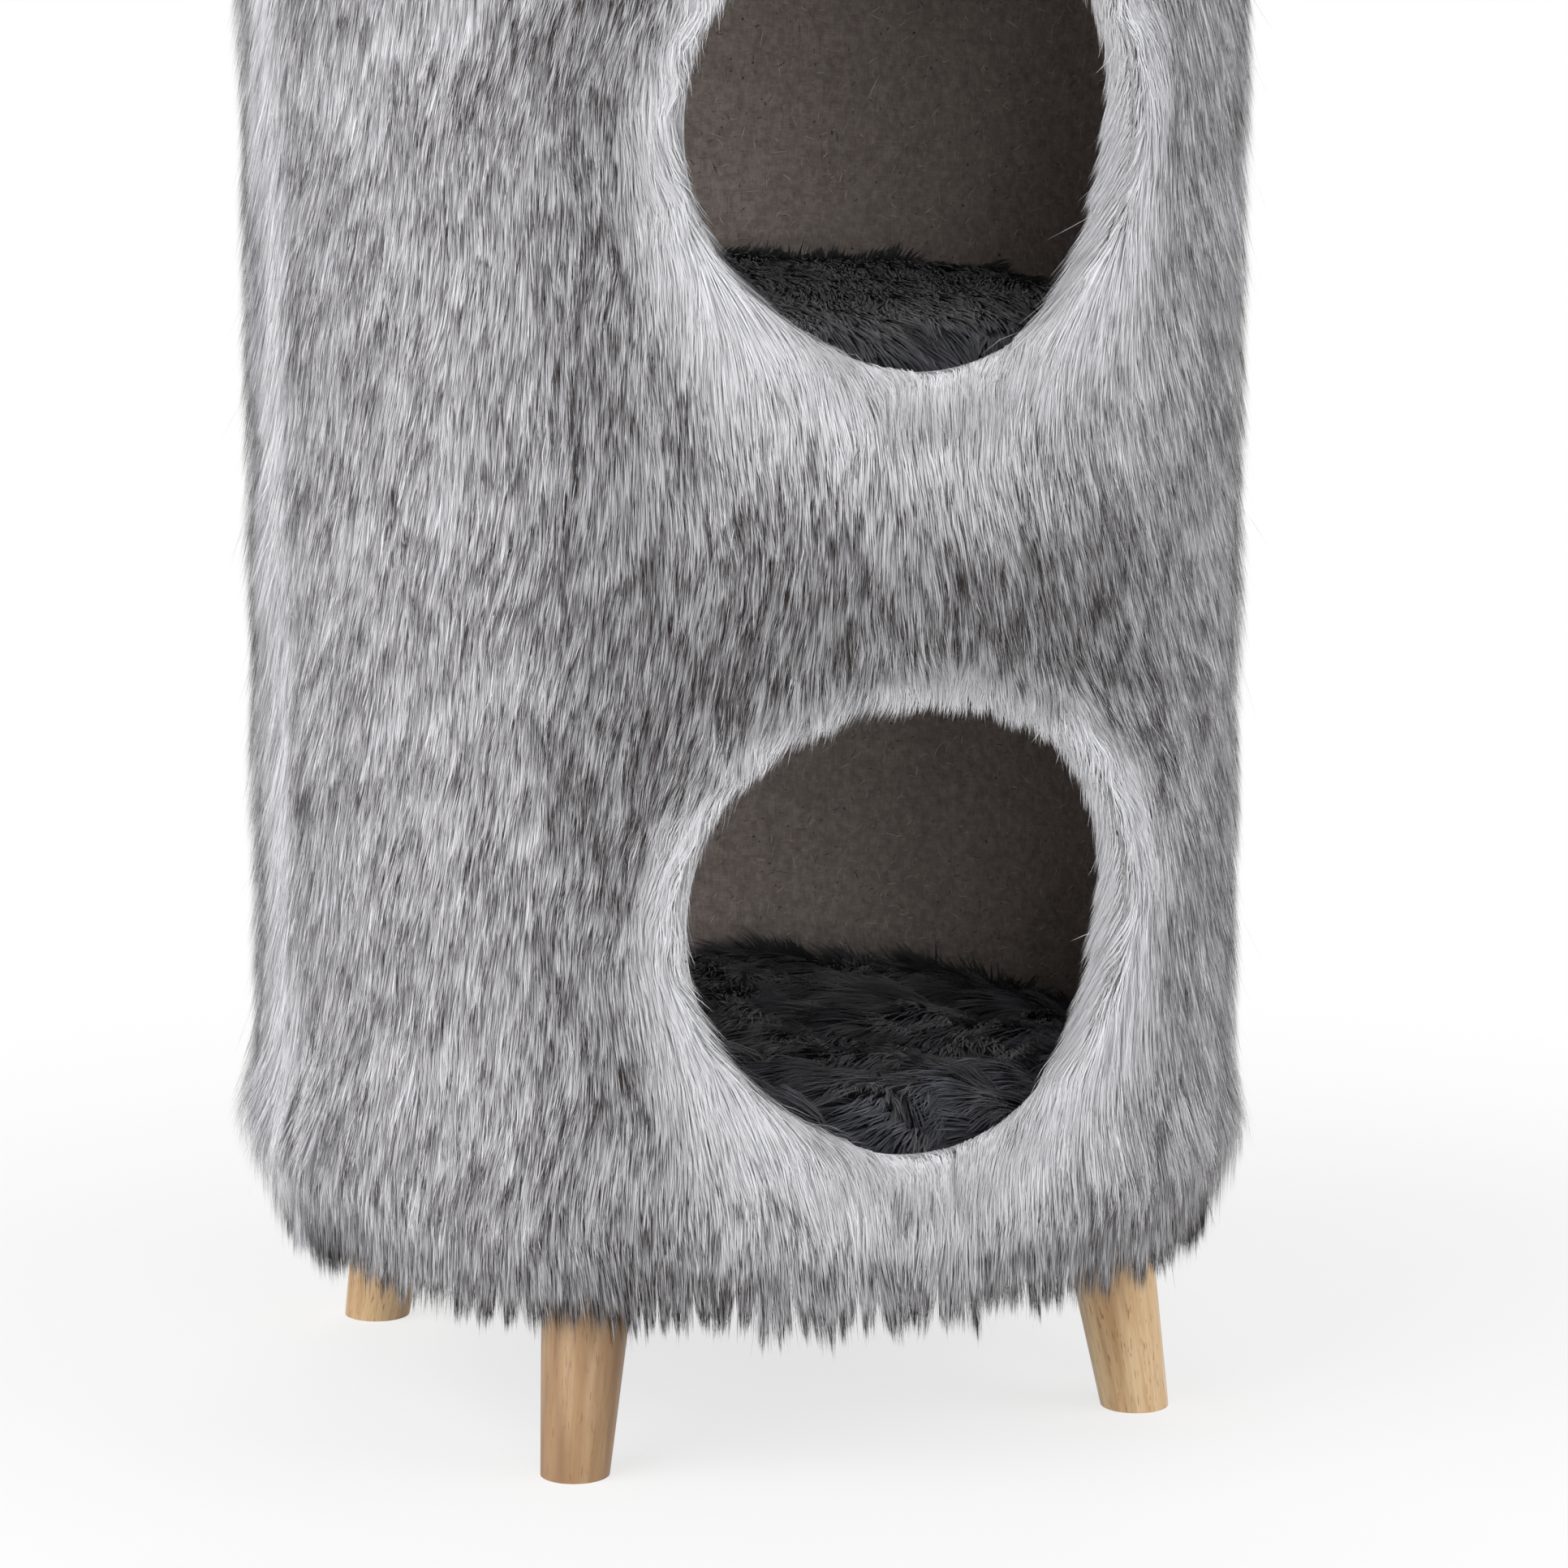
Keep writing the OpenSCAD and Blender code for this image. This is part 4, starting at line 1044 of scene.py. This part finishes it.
def plush(tag, me, body, z0, z_most, r_most, length, lift, comb, swirl, tuft, count, seed, mat):
    """The cushion's pile: strands that lie over one another in soft tufts."""
    r = np.random.default_rng(seed)
    p, n = sample_top(me, count, r)
    wide_swirl, small_swirl = waves(r, 8, 0.05, 0.13), waves(r, 9, 0.018, 0.045)
    x, y, _ = p.T
    angle = comb + swirl[0] * wide_swirl(x, y) + swirl[1] * small_swirl(x, y)
    cx, cy, number = clumps(x, y, tuft, tuft, seed + 1)
    c = per_clump(number, seed + 2, 6).T
    angle = angle + swirl[2] * (c[0] - 0.5)
    d = on_plane(np.stack([np.cos(angle), np.sin(angle), 0 * x], 1), n)
    # at the side the pile hangs down, and at the back it stands up against the wall
    steep = share(1 - n[:, 2] * 1.3)[:, None]
    hang = np.where(y > 0.3 * r_most, -0.45 * c[4] + 0.1, 0.6)[:, None] * steep
    d = unit(on_plane(d * (1 - np.abs(hang)) + np.array([0, 0, -1.0]) * hang, n))
    across = np.cross(n, d)
    reach = length * (0.75 + 0.4 * c[1]) * (0.85 + 0.3 * r.random(count))
    up = lift * (0.6 + 0.8 * c[2] * (0.3 + swirl[1])) + 0.6 * MM * r.standard_normal(count)
    curl = tuft * 0.35 * (c[3] - 0.5) + swirl[1] * 2.2 * MM * r.standard_normal(count)
    pts = np.empty((count, POINTS, 3))
    for i, t in enumerate(np.linspace(0, 1, POINTS)):
        high = up * np.sin(min(1, 0.25 + t * 0.75) * np.pi * 0.62) * (t > 0) - 0.8 * MM
        pts[:, i] = p + d * (reach * t)[:, None] + n * high[:, None] + across * (curl * t ** 2)[:, None]
        pts[:, i] += np.stack([-cx, -cy, 0 * cx], 1) * (0.18 * t ** 1.4)
    far = np.linalg.norm(pts[:, :, :2], axis=2)
    pts[:, :, :2] *= np.where(far > r_most, r_most / far, 1)[:, :, None]
    bend = 3 * MM
    level_z = z_most - bend
    z = pts[:, :, 2]
    over = np.maximum(z - level_z, 0)
    z[:] = np.where(over > 0, level_z + bend * (1 - np.exp(-over / bend)), z)
    z[:] = np.maximum(z, z0 + 0.6 * MM)
    # how much of the pale tip colour each tuft's strands take; those pale tips are partly painted highlight
    tone = np.clip(0.45 + 0.9 * (c[4] - 0.5) + 0.12 * r.standard_normal(count), 0, 0.999)
    nrm = np.repeat(n[:, None, :], POINTS, 1)
    lean = 1.4 * (c[5] - 0.5)[:, None] * across + (c[4] - 0.5)[:, None] * d
    shade = nrm + swirl[1] * lean[:, None, :] + 0.04 * r.standard_normal((count, 1, 3))
    ribbons(tag, pts, r.uniform(0.5 * MM, 1.0 * MM, count), nrm, r.normal(0, 0.10, count), tone,
            r.integers(0, ROWS, count), along_strand(0.05, 1, count), mat, [1, 1, 0.85, 0], body,
            shade)


def plush_base_finish():
    m = Nodes("plush_ground")
    f = m.noise(m.coords(), 420, 4, 0.7)
    m.bump(f, 0.8, 0.002)
    return m.finish(m.ramp(f, (0.3, (24, 24, 26)), (0.7, (56, 56, 60))), 0.95, Sheen_Weight=0.3)


# The pile runs from dark roots to pale bluish tips; the pale tips are partly the pile's own colour and
# partly painted highlight
plush_mat = strand_material("plush_pile", [(38, 38, 41), (72, 73, 79), (126, 128, 139)],
                            0.95, 0.35, 0.35, 0.7, 0.2, 0.25, 0.035)
# Each cushion's lumps, and its pile: length, height, comb, swirls, tuft and count of strands
PILES = {"lower": (4.5 * MM, 24 * MM, 6.0 * MM, radians(200), (0.7, 0.5, 0.30), 13 * MM, 40000),
         "upper": (1.2 * MM, 20 * MM, 4.0 * MM, radians(258), (0.25, 0.12, 0.15), 9 * MM, 32000),
         "top": (1.6 * MM, 20 * MM, 4.5 * MM, radians(258), (0.4, 0.2, 0.2), 10 * MM, 32000)}


def cushions():
    ground = plush_base_finish()
    pads = []
    for tag in PILES:
        lo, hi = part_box(tag + "_cushion_cover")
        z0, crown = lo[2] + 0.2 * MM, hi[2] - 8.5 * MM
        shape = cushion_shape(tag + "_cushion", z0, crown - 2 * MM, hi[0] - 12 * MM)
        pads.append((shape, tag, z0, hi[2], hi[0], crown))
    inflate([pad[0] for pad in pads])
    for j, (o, tag, z0, z1, r_cad, crown) in enumerate(pads):
        lump, *pile = PILES[tag]
        settle(o, z0, crown, r_cad - 5.5 * MM, 60 + j, lump)
        dress(o, ground)
        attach(o, tag + "_cushion")
        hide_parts(tag + "_cushion_cover", tag + "_cushion_filling")
        plush(tag + "_cushion_pile", o.data, tag + "_cushion", z0, z1 + 0.5 * MM, r_cad + 0.6 * MM, *pile,
              500 + 10 * j, plush_mat)


cushions()

# ---- camera, light, floor

def camera():
    far, high, lens = 2.3095, 0.6909, 135.63
    round_by, pitch, yaw = (radians(deg) for deg in (22.05, 11.117, 0.384))
    cam = link("camera", bpy.data.cameras.new("camera"))
    cam.location = (-far * math.sin(round_by), -far * math.cos(round_by), high)
    cam.rotation_euler = (math.pi / 2 - pitch, 0, -round_by - yaw)
    cam.data.lens = lens
    cam.data.sensor_width = 36
    bpy.context.scene.camera = cam


def area(name, place, look_z, size, power):
    lamp = bpy.data.lights.new(name, "AREA")
    lamp.energy, lamp.size = power, size
    o = link(name, lamp)
    o.location = place
    o.rotation_euler = (Vector((0, 0, look_z)) - Vector(place)).to_track_quat("-Z", "Y").to_euler()


def world():
    """White to the camera and in mirrors and glass, and dim as a light."""
    w = Nodes("studio", "worlds")
    bpy.context.scene.world = w.owner
    back = w.t.nodes["Background"].inputs
    w.put(back["Color"], (1, 1, 1))
    w.put(back["Strength"], w.scale_add(w.seen(), 0.69, 0.31))


def floor():
    """A white floor that fades into the white round it."""
    bm = bmesh.new()
    bmesh.ops.create_circle(bm, cap_ends=True, radius=9, segments=64)
    me = bpy.data.meshes.new("floor")
    bm.to_mesh(me)
    bm.free()
    m = Nodes("floor")
    m.finish((0.90, 0.90, 0.90), 0.9, Specular_IOR_Level=0.0)
    out = m.add("VectorMath", {0: m.coords()}, operation="LENGTH").outputs["Value"]
    near = {"Value": out, 1: 0.22, 2: 0.80, 3: 0.72, 4: 1.0}
    near = m.add("MapRange", near, interpolation_type="SMOOTHERSTEP").outputs[0]
    glow = m.add("Emission", {0: (1, 1, 1)}).outputs[0]
    both = m.add("MixShader", {0: m.times(m.seen(), near), 1: m.bsdf.outputs[0], 2: glow})
    m.put(m.t.nodes["Material Output"].inputs[0], both.outputs[0])
    me.materials.append(m.owner)
    link("floor", me)


camera()
area("key", (-3.2, -0.68, 1.45), 0.38, 3.6, 150)
area("front_fill", (-0.30, -3.05, 0.95), 0.36, 1.6, 31)
area("right_fill", (2.5, -1.85, 1.3), 0.4, 2.4, 54)
area("rear_fill", (1.6, 3.0, 1.6), 0.4, 2.4, 42)
world()
floor()
bpy.context.scene.view_settings.view_transform = "Standard"
